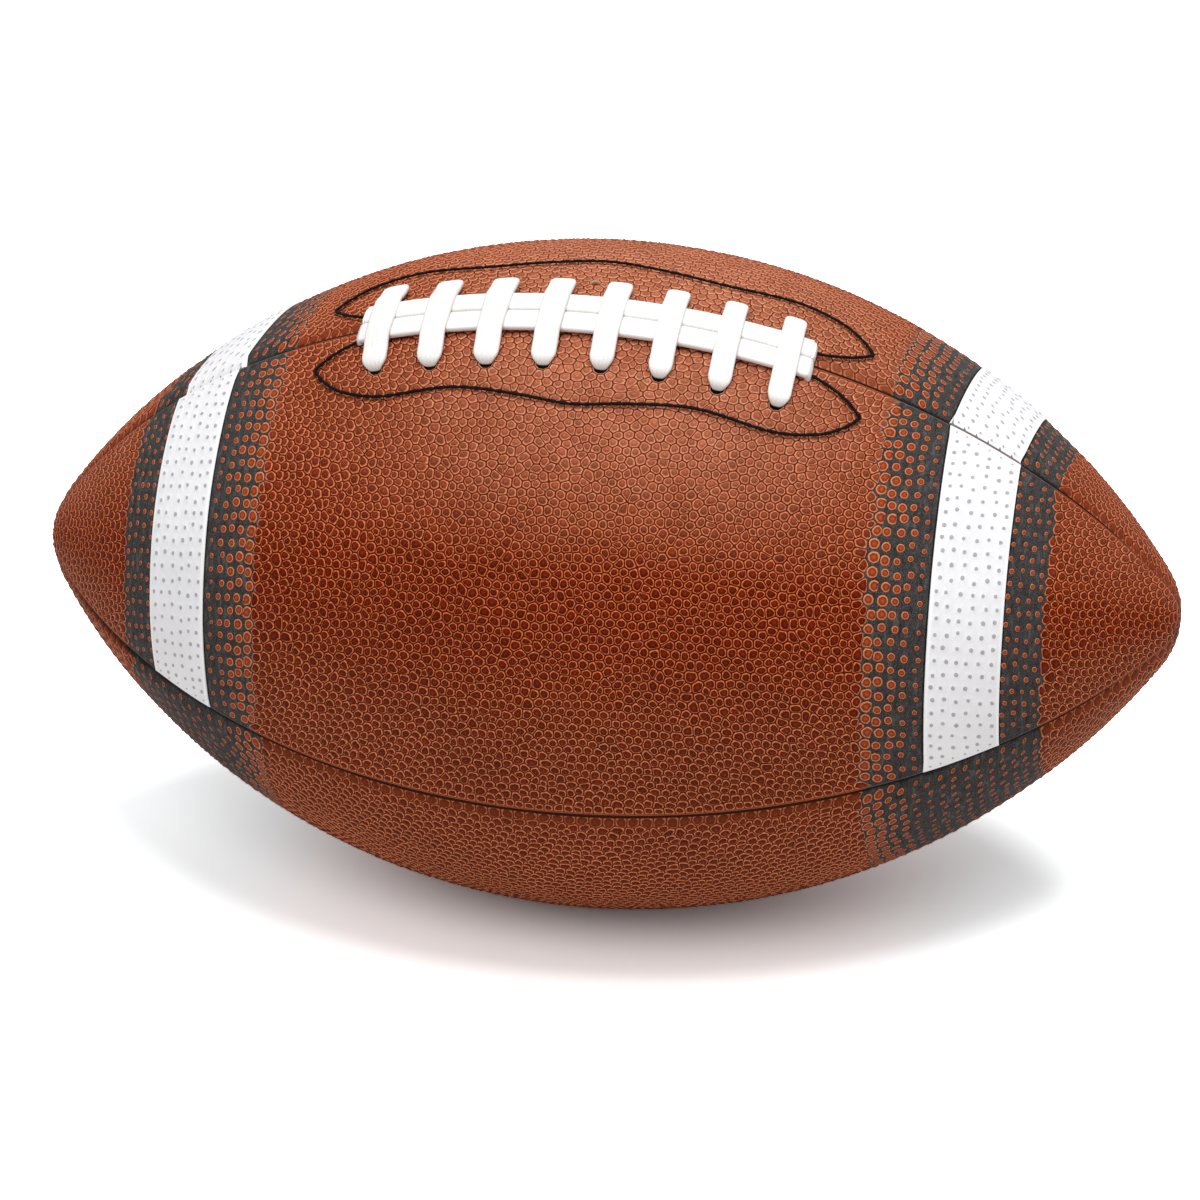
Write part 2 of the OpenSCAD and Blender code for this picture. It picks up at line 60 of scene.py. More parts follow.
# Lace holes in each row, and their distance from the lace seam. The valve lies under one more
HOLE_PITCH = 14.0
HOLE_COUNT = 8
HOLE_S = 16.2
HOLE_R = 2.1
LAST_HOLE = HOLE_PITCH * (HOLE_COUNT - 1) / 2
VALVE_S = 15.4
VALVE_R = 1.45

rng = np.random.default_rng(21)


def smooth(low, high, value):
    """0 below low, 1 above high, and a soft step between."""
    k = np.clip((value - low) / (high - low), 0.0, 1.0)
    return k * k * (3 - 2 * k)


def columns(*parts):
    """Rows of numbers side by side. A single number fills its column."""
    return np.stack(np.broadcast_arrays(*parts), axis=-1)


def tilt(u):
    m = np.abs(u)
    a = np.where(m <= JOIN_U, m / ARC_R, JOIN_A + (m - JOIN_U) / TIP_R)
    return np.sign(u) * np.minimum(a, math.pi / 2)


def ball_x(u):
    a = tilt(u)
    on_arc = np.abs(a) <= JOIN_A
    return np.where(on_arc, ARC_R * np.sin(a), np.sign(a) * TIP_X + TIP_R * np.sin(a))


def ball_r(u):
    a = tilt(u)
    return np.where(np.abs(a) <= JOIN_A, ARC_R * np.cos(a) - ARC_DROP, TIP_R * np.cos(a))


def u_at(x):
    return np.sign(x) * ARC_R * np.arcsin(np.minimum(np.abs(x) / ARC_R, 1.0))


def twist(x, h):
    """The covers of a real ball are sewn a little askew, and its inside is straight."""
    return np.radians(0.0085 * x - 0.55) * smooth(-4.5, -0.6, h)


def place(u, t, h):
    """Points of the ball at height h above the leather, turned as the ball lies."""
    a = tilt(u)
    x = ball_x(u) + h * np.sin(a)
    r = ball_r(u) + h * np.cos(a)
    turn = t + LACE_TURN + twist(x, h)
    z = np.maximum(r * np.cos(turn), REST_FLAT - MID_R)
    return columns(x, -r * np.sin(turn), z)


# Meshes

def in_scene(name, data):
    obj = bpy.data.objects.new(name, data)
    bpy.context.scene.collection.objects.link(obj)
    return obj


def add_mesh(name, points, faces, marks, material):
    """A piece from points in millimetres and lists of corners, with marks as attributes."""
    mesh = bpy.data.meshes.new(name)
    mesh.from_pydata((points * MM).tolist(), [], faces)
    for key, values in marks.items():
        layer = mesh.attributes.new(key, "FLOAT", "POINT")
        layer.data.foreach_set("value", np.asarray(values, dtype=np.float32))
    mesh.validate()
    mesh.polygons.foreach_set("use_smooth", [True] * len(mesh.polygons))
    mesh.update()
    piece = in_scene(name, mesh)
    mesh.materials.append(material)
    return piece


def delaunay(points, edges=()):
    flat = [Vector(p) for p in points]
    out = delaunay_2d_cdt(flat, [tuple(e) for e in edges], [], 0, 1e-6, True)
    source = [o[0] if o else -1 for o in out[3]]
    tris = [[source[i] for i in f] for f in out[2] if len(f) == 3]
    return np.array([f for f in tris if min(f) >= 0])


def circumcentres(points, tris):
    a, b, c = (points[tris[:, k]] for k in range(3))
    b = b - a
    c = c - a
    d = 2 * (b[:, 0] * c[:, 1] - b[:, 1] * c[:, 0])
    d = np.where(np.abs(d) < 1e-9, 1e-9, d)
    bb = (b ** 2).sum(axis=1)
    cc = (c ** 2).sum(axis=1)
    x = (c[:, 1] * bb - b[:, 1] * cc) / d
    y = (b[:, 0] * cc - c[:, 0] * bb) / d
    return a + columns(x, y)


# Seeds this near to a border are mirrored over it, so that cells end at the border
REACH = 5.2
# Number and sign of a sheet's low and high side
SIDES = ((0, -1), (1, 1))
# Borders are numbered: 0 and 1 are the sides, 2 and 3 the ends, and the holes start here
HOLE = 4
# Share of a panel's half width that a seam takes at most, close to the tips
MOST_INSET = 0.35


class Sheet:
    """The outline of a sheet in the (u, v) map: its two sides, its two ends and its holes."""

    def __init__(self, u0, u1, low_inset, high_inset, holes=()):
        self.u0 = u0
        self.u1 = u1
        self.insets = (low_inset, high_inset)
        self.holes = holes

    def half(self, u, side):
        """Distance of a side from the panel's middle line, side 0 low and 1 high."""
        return ball_r(u) * QUARTER - self.insets[side](u)

    def depth(self, p):
        """How far inside each border the points lie, a column for each border."""
        u, v = p.T
        gaps = [v + self.half(u, 0), self.half(u, 1) - v, u - self.u0, self.u1 - u]
        for c, r in self.holes:
            gaps.append(np.hypot(u - c[0], v - c[1]) - r)
        return columns(*gaps)

    def mirrored(self, p):
        """Seeds and their mirror images over near borders. A tag is 0, or 1 + the border."""
        parts = [p]
        tags = [np.zeros(len(p), dtype=int)]

        def add(images, near, border):
            parts.append(images[near])
            tags.append(np.full(near.sum(), 1 + border))

        u, v = p.T
        for side, sign in SIDES:
            gap = self.half(u, side) - sign * v
            slope = self.half(u + 0.5, side) - self.half(u - 0.5, side)
            size = np.hypot(1.0, slope)
            out = columns(-slope, sign) / size[:, None]
            add(p + 2 * (gap / size)[:, None] * out, gap < REACH, side)
        for k, (c, r) in enumerate(self.holes):
            d = p - np.array(c)
            far = np.hypot(*d.T)
            add(np.array(c) + d * ((2 * r - far) / far)[:, None], far < 1.9 * r, HOLE + k)
        whole = np.concatenate(parts)
        u, v = whole.T
        for k, end in enumerate((self.u0, self.u1)):
            add(columns(2 * end - u, v), np.abs(u - end) < REACH, 2 + k)
        return np.concatenate(parts), np.concatenate(tags)


# Corners of neighbouring triangles are one corner when they are as near as this
SAME = 0.02
SAME_AT_BORDER = 0.6


def first_of_same(corner, tris, on_border):
    """For each triangle's corner, the first of the corners that lie at the same place."""
    edges = np.concatenate([tris[:, [0, 1]], tris[:, [1, 2]], tris[:, [2, 0]]])
    edges.sort(axis=1)
    owner = np.tile(np.arange(len(tris)), 3)
    order = np.lexsort(edges.T)
    edges, owner = edges[order], owner[order]
    shared = (edges[1:] == edges[:-1]).all(axis=1)
    a, b = owner[:-1][shared], owner[1:][shared]
    limit = np.where(on_border[a] & on_border[b], SAME_AT_BORDER, SAME)
    close = np.hypot(*(corner[a] - corner[b]).T) < limit
    a, b = a[close], b[close]
    first = np.arange(len(tris))
    # A few rounds carry the lowest number through a whole group
    for _ in range(8):
        low = np.minimum(first[a], first[b])
        np.minimum.at(first, a, low)
        np.minimum.at(first, b, low)
    return first


def cell_corners(sheet, seeds):
    """Voronoi corners of every seed's cell, as flat lists sorted round each cell."""
    points, tags = sheet.mirrored(seeds)
    tris = delaunay(points)
    corner = circumcentres(points, tris)
    tri_tags = tags[tris]
    own = tris < len(seeds)
    on_border = own.any(axis=1) & ~own.all(axis=1)
    hits = {tag: on_border & (tri_tags == tag).any(axis=1) for tag in (1, 2, 3, 4)}

    def pull_to_borders():
        for k, edge in enumerate((sheet.u0, sheet.u1)):
            hit = hits[3 + k]
            corner[hit, 0] = edge
            corner[hit, 1] = np.clip(corner[hit, 1], -sheet.half(edge, 0), sheet.half(edge, 1))
        for side, sign in SIDES:
            hit = hits[1 + side]
            corner[hit, 1] = sign * sheet.half(corner[hit, 0], side)

    pull_to_borders()
    for k, (c, r) in enumerate(sheet.holes):
        hit = on_border & (tri_tags == 1 + HOLE + k).any(axis=1)
        d = corner[hit] - np.array(c)
        corner[hit] = np.array(c) + d * (r / np.hypot(*d.T))[:, None]
    first = first_of_same(corner, tris, on_border)
    # A corner that several triangles share lies on every border that one of them touches
    for tag in hits:
        shared = hits[tag].copy()
        np.logical_or.at(shared, first, hits[tag])
        hits[tag] = shared
    pull_to_borders()
    seed_of = tris.ravel()
    tri_of = np.repeat(first, 3)
    keep = seed_of < len(seeds)
    seed_of, tri_of = np.unique(columns(seed_of[keep], tri_of[keep]), axis=0).T
    away = corner[tri_of] - seeds[seed_of]
    order = np.lexsort((np.arctan2(away[:, 1], away[:, 0]), seed_of))
    return corner, seed_of[order], tri_of[order]


def middles(seeds, seed_of, places):
    """The middle of each cell's corners."""
    total = np.zeros_like(seeds)
    np.add.at(total, seed_of, places)
    count = np.bincount(seed_of, minlength=len(seeds))
    return total / np.maximum(count, 1)[:, None]


def relaxed(sheet, seeds, free):
    """Seeds, with the free ones moved to the middle of their cells to even these out."""
    corner, seed_of, tri_of = cell_corners(sheet, seeds)
    middle = middles(seeds, seed_of, corner[tri_of])
    return np.where(free[:, None], middle, seeds)


def grow_cells(sheet, seeds, dot_r, wall=0.17):
    """Vertices and faces of the cells, with each vertex's level and cell.

    Level 0 is a corner between cells, 1 a cell's ring and 2 its middle. dot_r is the radius
    of a cell's round dot, or 0 for a pebble that fills its cell up to a wall. A cell of -1
    says that the vertex is shared."""
    corner, seed_of, tri_of = cell_corners(sheet, seeds)
    used, tri_of = np.unique(tri_of, return_inverse=True)
    corner = corner[used]
    count = np.bincount(seed_of, minlength=len(seeds))
    start = np.concatenate([[0], np.cumsum(count)[:-1]])
    middle = middles(seeds, seed_of, corner[tri_of])
    entry = np.arange(len(seed_of))
    after = np.where(entry + 1 < start[seed_of] + count[seed_of], entry + 1, start[seed_of])
    before = np.empty_like(after)
    before[after] = entry
    p = corner[tri_of]
    q = corner[tri_of[after]]
    c = middle[seed_of]
    cut = 0.28  # The ring's corners are cut off, so that a pebble is round
    one = p + (q - p) * cut
    two = p + (q - p) * (1 - cut)
    # A wall of one width all round takes a larger share of a small cell
    size_of = np.zeros(len(seeds))
    np.add.at(size_of, seed_of, np.hypot(*(one - c).T))
    size_of /= np.maximum(count, 1)
    share = 1 - wall / np.maximum(size_of, 0.6)
    first = (one - c)[start[seed_of]]
    turn = np.arctan2(first[:, 1], first[:, 0])
    rank = entry - start[seed_of]
    dots = dot_r[seed_of]
    ring = []
    for k, e in enumerate((one, two)):
        d = e - c
        size = np.maximum(np.hypot(*d.T), 1e-6)
        pebble = c + d * share[seed_of][:, None]
        angle = turn + math.pi * (2 * rank + k) / count[seed_of]
        radius = np.minimum(dots, size * 0.9)
        dot = c + radius[:, None] * columns(np.cos(angle), np.sin(angle))
        ring.append(np.where((dots > 0)[:, None], dot, pebble))
    n_corner = len(corner)
    n_entry = len(seed_of)
    ring_points = np.stack(ring, axis=1).reshape(-1, 2)
    r_one = n_corner + 2 * entry
    r_two = r_one + 1
    mid = n_corner + 2 * n_entry + seed_of
    walls = columns(tri_of, tri_of[after], r_two, r_one)
    corners = columns(tri_of, r_one, r_two[before])
    fan_a = columns(r_one, r_two, mid)
    fan_b = columns(r_two, r_one[after], mid)
    faces = walls.tolist() + corners.tolist() + fan_a.tolist() + fan_b.tolist()
    points = np.concatenate([corner, ring_points, middle])
    level = np.concatenate([np.zeros(n_corner), np.ones(2 * n_entry), np.full(len(seeds), 2.0)])
    cell = np.concatenate([np.full(n_corner, -1), np.repeat(seed_of, 2), np.arange(len(seeds))])
    return points, faces, level, cell


def next_of(loop):
    return loop[1:] + loop[:1]


def border_loops(faces):
    """Loops of the directed edges that only one face uses."""
    edges = {}
    for f in faces:
        for a, b in zip(f, next_of(f)):
            if (b, a) in edges:
                del edges[(b, a)]
            else:
                edges[(a, b)] = True
    ways = {}
    for a, b in edges:
        ways.setdefault(a, []).append(b)
    loops = []
    while ways:
        chain = [next(iter(ways))]
        while chain[-1] in ways:
            onward = ways[chain[-1]]
            to = onward.pop()
            if not onward:
                del ways[chain[-1]]
            if to in chain:
                back_at = chain.index(to)
                loops.append(chain[back_at:])
                chain = chain[:back_at + 1]
            else:
                chain.append(to)
    return loops


def within(loop, p):
    """Whether p lies inside a closed line of points."""
    after = np.roll(loop, -1, axis=0)
    over = (loop[:, 1] > p[1]) != (after[:, 1] > p[1])
    a, b = loop[over], after[over]
    x = a[:, 0] + (b[:, 0] - a[:, 0]) * (p[1] - a[:, 1]) / (b[:, 1] - a[:, 1])
    return (x > p[0]).sum() % 2 == 1


# A border with fewer corners is a gap between cells, and is closed with one face
LEAST_RIM = 6
# The inner skin's grid, and how far it stays from the borders
INNER_STEP = 9.0
INNER_MARGIN = 5.5


def close_sheet(sheet, parts, rows, inner_depth, hole_rows=()):
    """Adds rolled borders and an inner skin to the outer cells.

    Each row(at, side) gives how far out it lies, its height and its marks."""
    points, faces, height, marks = parts
    inner_loops = []
    for loop in border_loops(faces):
        if len(loop) < LEAST_RIM:
            faces.append(loop[::-1])
            continue
        at = points[loop]
        gaps = sheet.depth(at)
        side = gaps.argmin(axis=1)
        out = np.zeros_like(at)
        if side.min() >= HOLE:
            d = np.array(sheet.holes[side[0] - HOLE][0]) - at
            out = d / np.hypot(*d.T)[:, None]
            wanted = hole_rows
        else:
            tight = 1e-3
            out[:, 1] = (gaps[:, 1] < tight).astype(float) - (gaps[:, 0] < tight)
            out[:, 0] = (gaps[:, 3] < tight).astype(float) - (gaps[:, 2] < tight)
            wanted = rows
        last = list(loop)
        for row in wanted:
            far, up, more = row(at, side)
            first = len(points)
            points = np.concatenate([points, at + out * far[:, None]])
            height = np.concatenate([height, up])
            for key in marks:
                value = np.broadcast_to(more.get(key, 0.0), len(loop))
                marks[key] = np.concatenate([marks[key], value])
            fresh = list(range(first, first + len(loop)))
            faces += [list(f) for f in zip(next_of(last), last, fresh, next_of(fresh))]
            last = fresh
        inner_loops.append(last)
    grid = np.array([(u, v) for u in np.arange(sheet.u0 + INNER_STEP / 2, sheet.u1, INNER_STEP)
                     for v in np.arange(-80.0, 80.0, INNER_STEP)])
    grid = grid[sheet.depth(grid).min(axis=1) > INNER_MARGIN]
    first = len(points)
    points = np.concatenate([points, grid])
    height = np.concatenate([height, np.full(len(grid), -inner_depth)])
    for key in marks:
        marks[key] = np.concatenate([marks[key], np.zeros(len(grid))])
    ids = [i for loop in inner_loops for i in loop] + list(range(first, len(points)))
    local = {g: i for i, g in enumerate(ids)}
    edges = [(local[a], local[b]) for loop in inner_loops for a, b in zip(loop, next_of(loop))]
    tris = delaunay(points[ids], edges)
    owner = {i: k for k, loop in enumerate(inner_loops) for i in loop}
    big = max(range(len(inner_loops)), key=lambda k: len(inner_loops[k]))
    rim = points[inner_loops[big]]
    # A triangle between corners of one loop lies in a hole, or outside the rim's bends
    for f in tris:
        g = [ids[i] for i in f]
        owners = {owner.get(i) for i in g}
        if len(owners) == 1 and owners != {None}:
            if owners != {big} or not within(rim, points[g].mean(axis=0)):
                continue
        faces.append([g[2], g[1], g[0]])
    return points, faces, height, marks


# Panels

# Distance of the pebbles, and the rows of the dots in the printed bands
PITCH = 2.3
DOT_ROWS = (np.arange(-20, 20) + 0.5) * 3.3
TIP_U = JOIN_U + TIP_R * (math.pi / 2 - JOIN_A) - 1.9
# Depth of the valleys between pebbles, and how far the leather sinks along the stitches
RELIEF = 0.4
STITCH_SINK = 0.4
# Heights of a cell's ring, a printed dot, the inked leather and the leather under a stripe
RING_H = -0.06
DOT_H = 0.11
INK_H = -0.12
PLAIN_H = -0.10
LEATHER_T = 2.0
INNER_SKIN = LEATHER_T + 0.2
SEAM_DEPTH = 5.6
# Columns of dots across the ball: x, and the dots' radius where it changes
INNER_COLUMNS = ((75.3, 1.5), (78.0, 1.28), (80.7, 1.08), (83.4, 0.88), (86.1, 0.6))
STRIPE_COLUMNS = tuple(STRIPE_X[0] + 2.72 * (k + 0.4) for k in range(6))
OUTER_COLUMNS = (105.9, 108.2, 110.5, 112.8)
# A stripe's dimples stay this far from a seam, and a row of small ones is nearer
DIMPLE_FAR = 2.2
SMALL_FAR = 1.0
# The pebbles round a hole stay this far from its edge
COLLAR = 1.1
# How far seeds stray from their places: dots in the bands, dimples and loose pebbles
DOT_STRAY = 0.13
DIMPLE_STRAY = 0.16
PEBBLE_STRAY = 0.58


class Edge:
    """How a panel meets a seam. A lip stays high, and a dip sinks under its neighbour's lip."""

    def __init__(self, gap, roll, drop, width, left=0.0, left_from=70.0):
        self.gap = gap
        self.roll = roll
        self.drop = drop
        self.dips = drop > 0.6
        self.width = width
        self.left = left
        self.left_from = left_from

    def open_at(self, u):
        """How far the seam gapes towards the left end of the ball."""
        opening = smooth(-u_at(self.left_from), -u_at(self.left_from + 42.0), u)
        return self.left * opening * smooth(-172.0, -150.0, u)

    def inset(self, u):
        """How far the panel's outer face stays from the seam."""
        slim = 0.4 + 0.6 * smooth(4.0, 32.0, ball_r(u))
        wanted = (self.gap + self.roll) * slim + 0.8 * self.open_at(u)
        return np.minimum(wanted, MOST_INSET * ball_r(u) * QUARTER)

    def roll_at(self, u):
        """Radius of the rolled edge."""
        return self.inset(u) * self.roll / (self.gap + self.roll)

    def sink(self, u, far):
        """How deep the leather lies at a distance from the seam."""
        wide = np.minimum(self.width, 0.8 * ball_r(u) * QUARTER)
        deep = (self.drop + 0.9 * self.open_at(u)) * np.minimum(1.0, ball_r(u) / 22.0)
        return deep * (1 - smooth(0.0, 1.0, far / wide)) ** 1.3


LIP = dict(gap=0.16, roll=0.55, drop=0.1, width=3.0)
DIP = dict(gap=0.42, roll=0.8, drop=1.25, width=6.0)
BACK_DIP = dict(gap=0.22, roll=0.6, drop=0.9, width=6.0)
# The leather's form lies this far inside the solid, and leaves room for its relief
ROOM = 0.5


def stray(x, t):
    """How far the bands of the far lace panel stray to the right behind the lace seam."""
    share = -t / (math.pi / 2)
    rise = np.sin(np.clip(share / 0.4, 0.0, 1.0) * math.pi / 2) * (1 - smooth(0.5, 0.97, share))
    size = 7.0 - 4.2 * smooth(-40.0, 40.0, x)
    band = smooth(60.0, 86.0, np.abs(x)) * (1 - smooth(116.0, 138.0, np.abs(x)))
    return size * rise * band


class Panel:
    def __init__(self, name, start, low, high, holes=()):
        self.name = name
        self.start = start
        self.edges = (low, high)
        self.holes = holes
        self.middle = start + QUARTER
        self.laced = "lace" in name

    def sheet(self, u0=-TIP_U, u1=TIP_U, holes=True):
        return Sheet(u0, u1, self.edges[0].inset, self.edges[1].inset, self.holes if holes else ())

    def level(self, u, v):
        """Height of the leather's own form, before its pebbles."""
        wide = ball_r(u) * QUARTER
        low = self.edges[0].sink(u, wide + v)
        high = self.edges[1].sink(u, wide - v)
        uneven = 0.07 * np.sin(u / 13.0 + v / 9.0) * np.sin(v / 11.0 - u / 17.0)
        return uneven - low - high - ROOM

    def lift(self, u, v, h):
        t = self.middle + v / np.maximum(ball_r(u), 0.05)
        if self.name == "panel_lace_far":
            u = u + stray(ball_x(u), t)
        return place(u, t, h)


def hole_at(x, s, r, middle, far):
    """A hole's centre in a laced panel's map. s is its distance from the lace seam."""
    u = float(u_at(x))
    radius = float(ball_r(u))
    t = math.asin(s / radius) * (-1 if far else 1)
    return ((u, radius * (t - middle)), r)


def hole_s(x, far=False):
    """Distance of a lace hole from the seam. The lace draws both rows in a little."""
    left = float(smooth(30.0, 50.0, -x))
    return HOLE_S - (2.6 - 1.2 * left if far else 1.0 + 0.8 * left)


def lace_hole_list(middle, far):
    xs = [HOLE_PITCH * i - LAST_HOLE for i in range(HOLE_COUNT)]
    return [hole_at(x, hole_s(x, far), HOLE_R, middle, far) for x in xs]


NEAR_HOLES = lace_hole_list(QUARTER, False)
FAR_HOLES = lace_hole_list(-QUARTER, True)
FAR_HOLES.append(hole_at(0.0, VALVE_S, VALVE_R, -QUARTER, True))

PANELS = [
    Panel("panel_lace_near", 0.0, Edge(**LIP), Edge(**LIP), NEAR_HOLES),
    Panel("panel_base_near", math.pi / 2, Edge(**DIP, left=1.0), Edge(**LIP)),
    Panel("panel_base_far", math.pi, Edge(**BACK_DIP), Edge(**BACK_DIP)),
    Panel("panel_lace_far", -math.pi / 2, Edge(**LIP),
          Edge(**DIP, left=0.7, left_from=50.0), FAR_HOLES),
]


def in_bands(x):
    return (np.abs(x) > INK_X[0] - 0.6) & (np.abs(x) < INK_X[1] - 1.2)


def panel_seeds(panel, sheet):
    """Seeds of the cells, whether each may move, and the radius of its dot.

    The radius is 0 for a pebble, and -1 under a stripe, where the leather is plain."""
    seeds = []
    free = []
    dots = []

    def add(points, movable, dot):
        seeds.append(points)
        free.append(np.full(len(points), movable))
        dots.append(np.broadcast_to(dot, len(points)).astype(float))

    # Printed bands: straight rows along the ball, columns across it
    dot_columns = list(INNER_COLUMNS)
    dot_columns += [(x, -1.0 if panel.laced else 0.62) for x in STRIPE_COLUMNS]
    dot_columns += [(x, 0.64) for x in OUTER_COLUMNS]
    for side in (-1, 1):
        for x, r in dot_columns:
            u = float(u_at(side * x))
            p = columns(u, DOT_ROWS)
            p = p + rng.normal(0, DOT_STRAY, p.shape)
            p = p[sheet.depth(p).min(axis=1) > (DIMPLE_FAR if r < 0 else 1.0)]
            if r < 0:
                ends = [[u, sign * (sheet.half(u, k) - SMALL_FAR)] for k, sign in SIDES]
                add(np.concatenate([p, ends]), False, r)
            else:
                add(p, False, r * rng.uniform(0.82, 1.14, len(p)))

    # A row of pebbles along each sewn edge, longer ones where the edge sinks
    edge_far = []
    for side, sign in SIDES:
        step, far = (3.1, 1.5) if panel.edges[side].dips else (2.4, 1.05)
        edge_far.append(far)
        u = np.arange(-TIP_U + 1.0, TIP_U - 0.8, step)
        u = u + rng.uniform(-0.3, 0.3, len(u))
        p = columns(u, sign * (sheet.half(u, side) - far))
        keep = ~in_bands(ball_x(u)) & (sheet.half(u, 1 - side) + sign * p[:, 1] > far)
        add(p[keep], False, 0.0)
    for c, r in sheet.holes:
        n = max(7, int(round(2 * math.pi * (r + COLLAR) / PITCH)))
        turn = np.arange(n) * 2 * math.pi / n + rng.uniform(0, 1)
        p = np.array(c) + (r + COLLAR) * columns(np.cos(turn), np.sin(turn))
        add(p, False, 0.0)

    # Pebbles elsewhere, in loose rows
    for k, v in enumerate(np.arange(-70.0, 70.0, PITCH * 0.9)):
        u = np.arange(-TIP_U, TIP_U, PITCH * 1.04) + (k % 2) * PITCH * 0.52
        p = columns(u, v)
        p = p + rng.normal(0, PEBBLE_STRAY, p.shape)
        p = p[rng.random(len(p)) > 0.05]
        gaps = sheet.depth(p)
        keep = ~in_bands(ball_x(p[:, 0]))
        keep &= (gaps[:, :2] > np.array(edge_far) + 1.35).all(axis=1)
        keep &= gaps[:, 2:4].min(axis=1) > 0.8
        if len(sheet.holes):
            keep &= gaps[:, HOLE:].min(axis=1) > PITCH
        add(p[keep], True, 0.0)
    return np.concatenate(seeds), np.concatenate(free), np.concatenate(dots)


def edge_rows(panel):
    """Rows that roll a panel's border down into its seams, and back up to the inner skin."""
    turns = (0.45, 0.9, 1.25, math.pi / 2)

    def roll_of(at, side):
        low, high = (e.roll_at(at[:, 0]) for e in panel.edges)
        return np.where(side == 0, low, np.where(side == 1, high, 0.9))

    def lip_of(side):
        raised = np.array([not e.dips for e in panel.edges] + [False] * 2)
        return raised[np.minimum(side, 3)]

    def rolled(turn):
        def row(at, side):
            r = roll_of(at, side)
            level = panel.level(*at.T)
            # A painted highlight: a thin light line along the top of a lip's roll
            lip = lip_of(side) * (1.0 if turn < 0.6 else 0.0)
            # Painted shade, darker the further the border rolls down into its seam
            dark = np.minimum(turn / (math.pi / 2) * np.where(lip_of(side), 1.2, 3.0), 1.0)
            return (r * math.sin(turn), level - r * (1 - math.cos(turn)),
                    dict(smooth=1.0, level=1.0, crease=dark, lip=lip))
        return row

    def inner(far, depth):
        def row(at, side):
            wide = panel.sheet().half(at[:, 0], 0)
            r = roll_of(at, side)
            back = np.minimum(far, 0.45 * wide) if far > 0 else r * 0
            # Painted shade, full down in the seam
            return r * (far == 0) - back, np.full(len(at), -depth), dict(smooth=1.0, crease=1.0)
        return row

    return [rolled(t) for t in turns] + [
        inner(0.0, 3.6), inner(0.0, SEAM_DEPTH), inner(0.9, SEAM_DEPTH), inner(0.9, 3.4),
        inner(2.2, INNER_SKIN)]


def hole_rows(panel):
    def row_at(far, depth, pale):
        def row(at, side):
            level = panel.level(*at.T)
            height = level - depth if depth < LEATHER_T else np.full(len(at), -INNER_SKIN)
            return np.full(len(at), far), height, dict(smooth=1.0, pale=pale, level=1.0)
        return row
    return [row_at(0.16, 0.03, 1.0), row_at(0.36, 0.22, 1.0), row_at(0.42, 0.6, 0.6),
            row_at(0.42, LEATHER_T, 0.3)]


def leaf_line():
    """The line of the facing's stitches as (x, s), from end to end round the leaf.

    It lies a little to the right of the ball's middle."""
    half, bulge, waist, tip, end = 66.6, 26.2, 22.4, 11.2, 4.95
    right = [(0.0, bulge), (0.2 * half, waist + 0.55 * (bulge - waist)), (0.44 * half, waist),
             (0.7 * half, waist + 0.2 * (bulge - waist)), (0.86 * half, tip + 0.8 * (waist - tip)),
             (0.95 * half, tip + 0.4 * (waist - tip)), (half, tip)]
    back = [(half, tip), (0.94 * half, end + 0.42 * (tip - end)), (57.4, end), (53.0, end - 1.2)]
    outer = spline(np.array([(-x, s) for x, s in reversed(right)] + right[1:]), 24)
    tail = spline(np.array(back), 24)
    points = np.concatenate([tail[::-1] * (-1, 1), outer[1:], tail[1:]])
    points[:, 0] += 1.5
    return points


def spline(points, steps):
    """A smooth curve through points, with steps from each to the next."""
    n = len(points)
    out = []
    for i in range(n - 1):
        p, q, r, s = (points[min(max(i + k, 0), n - 1)] for k in (-1, 0, 1, 2))
        for j in range(steps):
            k = j / steps
            out.append(0.5 * (2 * q + (r - p) * k + (2 * p - 5 * q + 4 * r - s) * k * k
                              + (3 * q - p - 3 * r + s) * k ** 3))
    out.append(points[-1])
    return np.array(out)


LEAF = leaf_line()


def surface_t(x, s):
    return np.arcsin(s / ball_r(u_at(x)))


def leaf_in_map(panel):
    u = u_at(LEAF[:, 0])
    sign = 1 if panel.start == 0 else -1
    t = surface_t(LEAF[:, 0], sign * LEAF[:, 1])
    return columns(u, ball_r(u) * (t - panel.middle))


def distance_to(line, points):
    """Distance of each point from a line of close points."""
    best = np.full(len(points), 1e9)
    for k in range(0, len(line), 2):
        d = np.hypot(points[:, 0] - line[k, 0], points[:, 1] - line[k, 1])
        best = np.minimum(best, d)
    return best


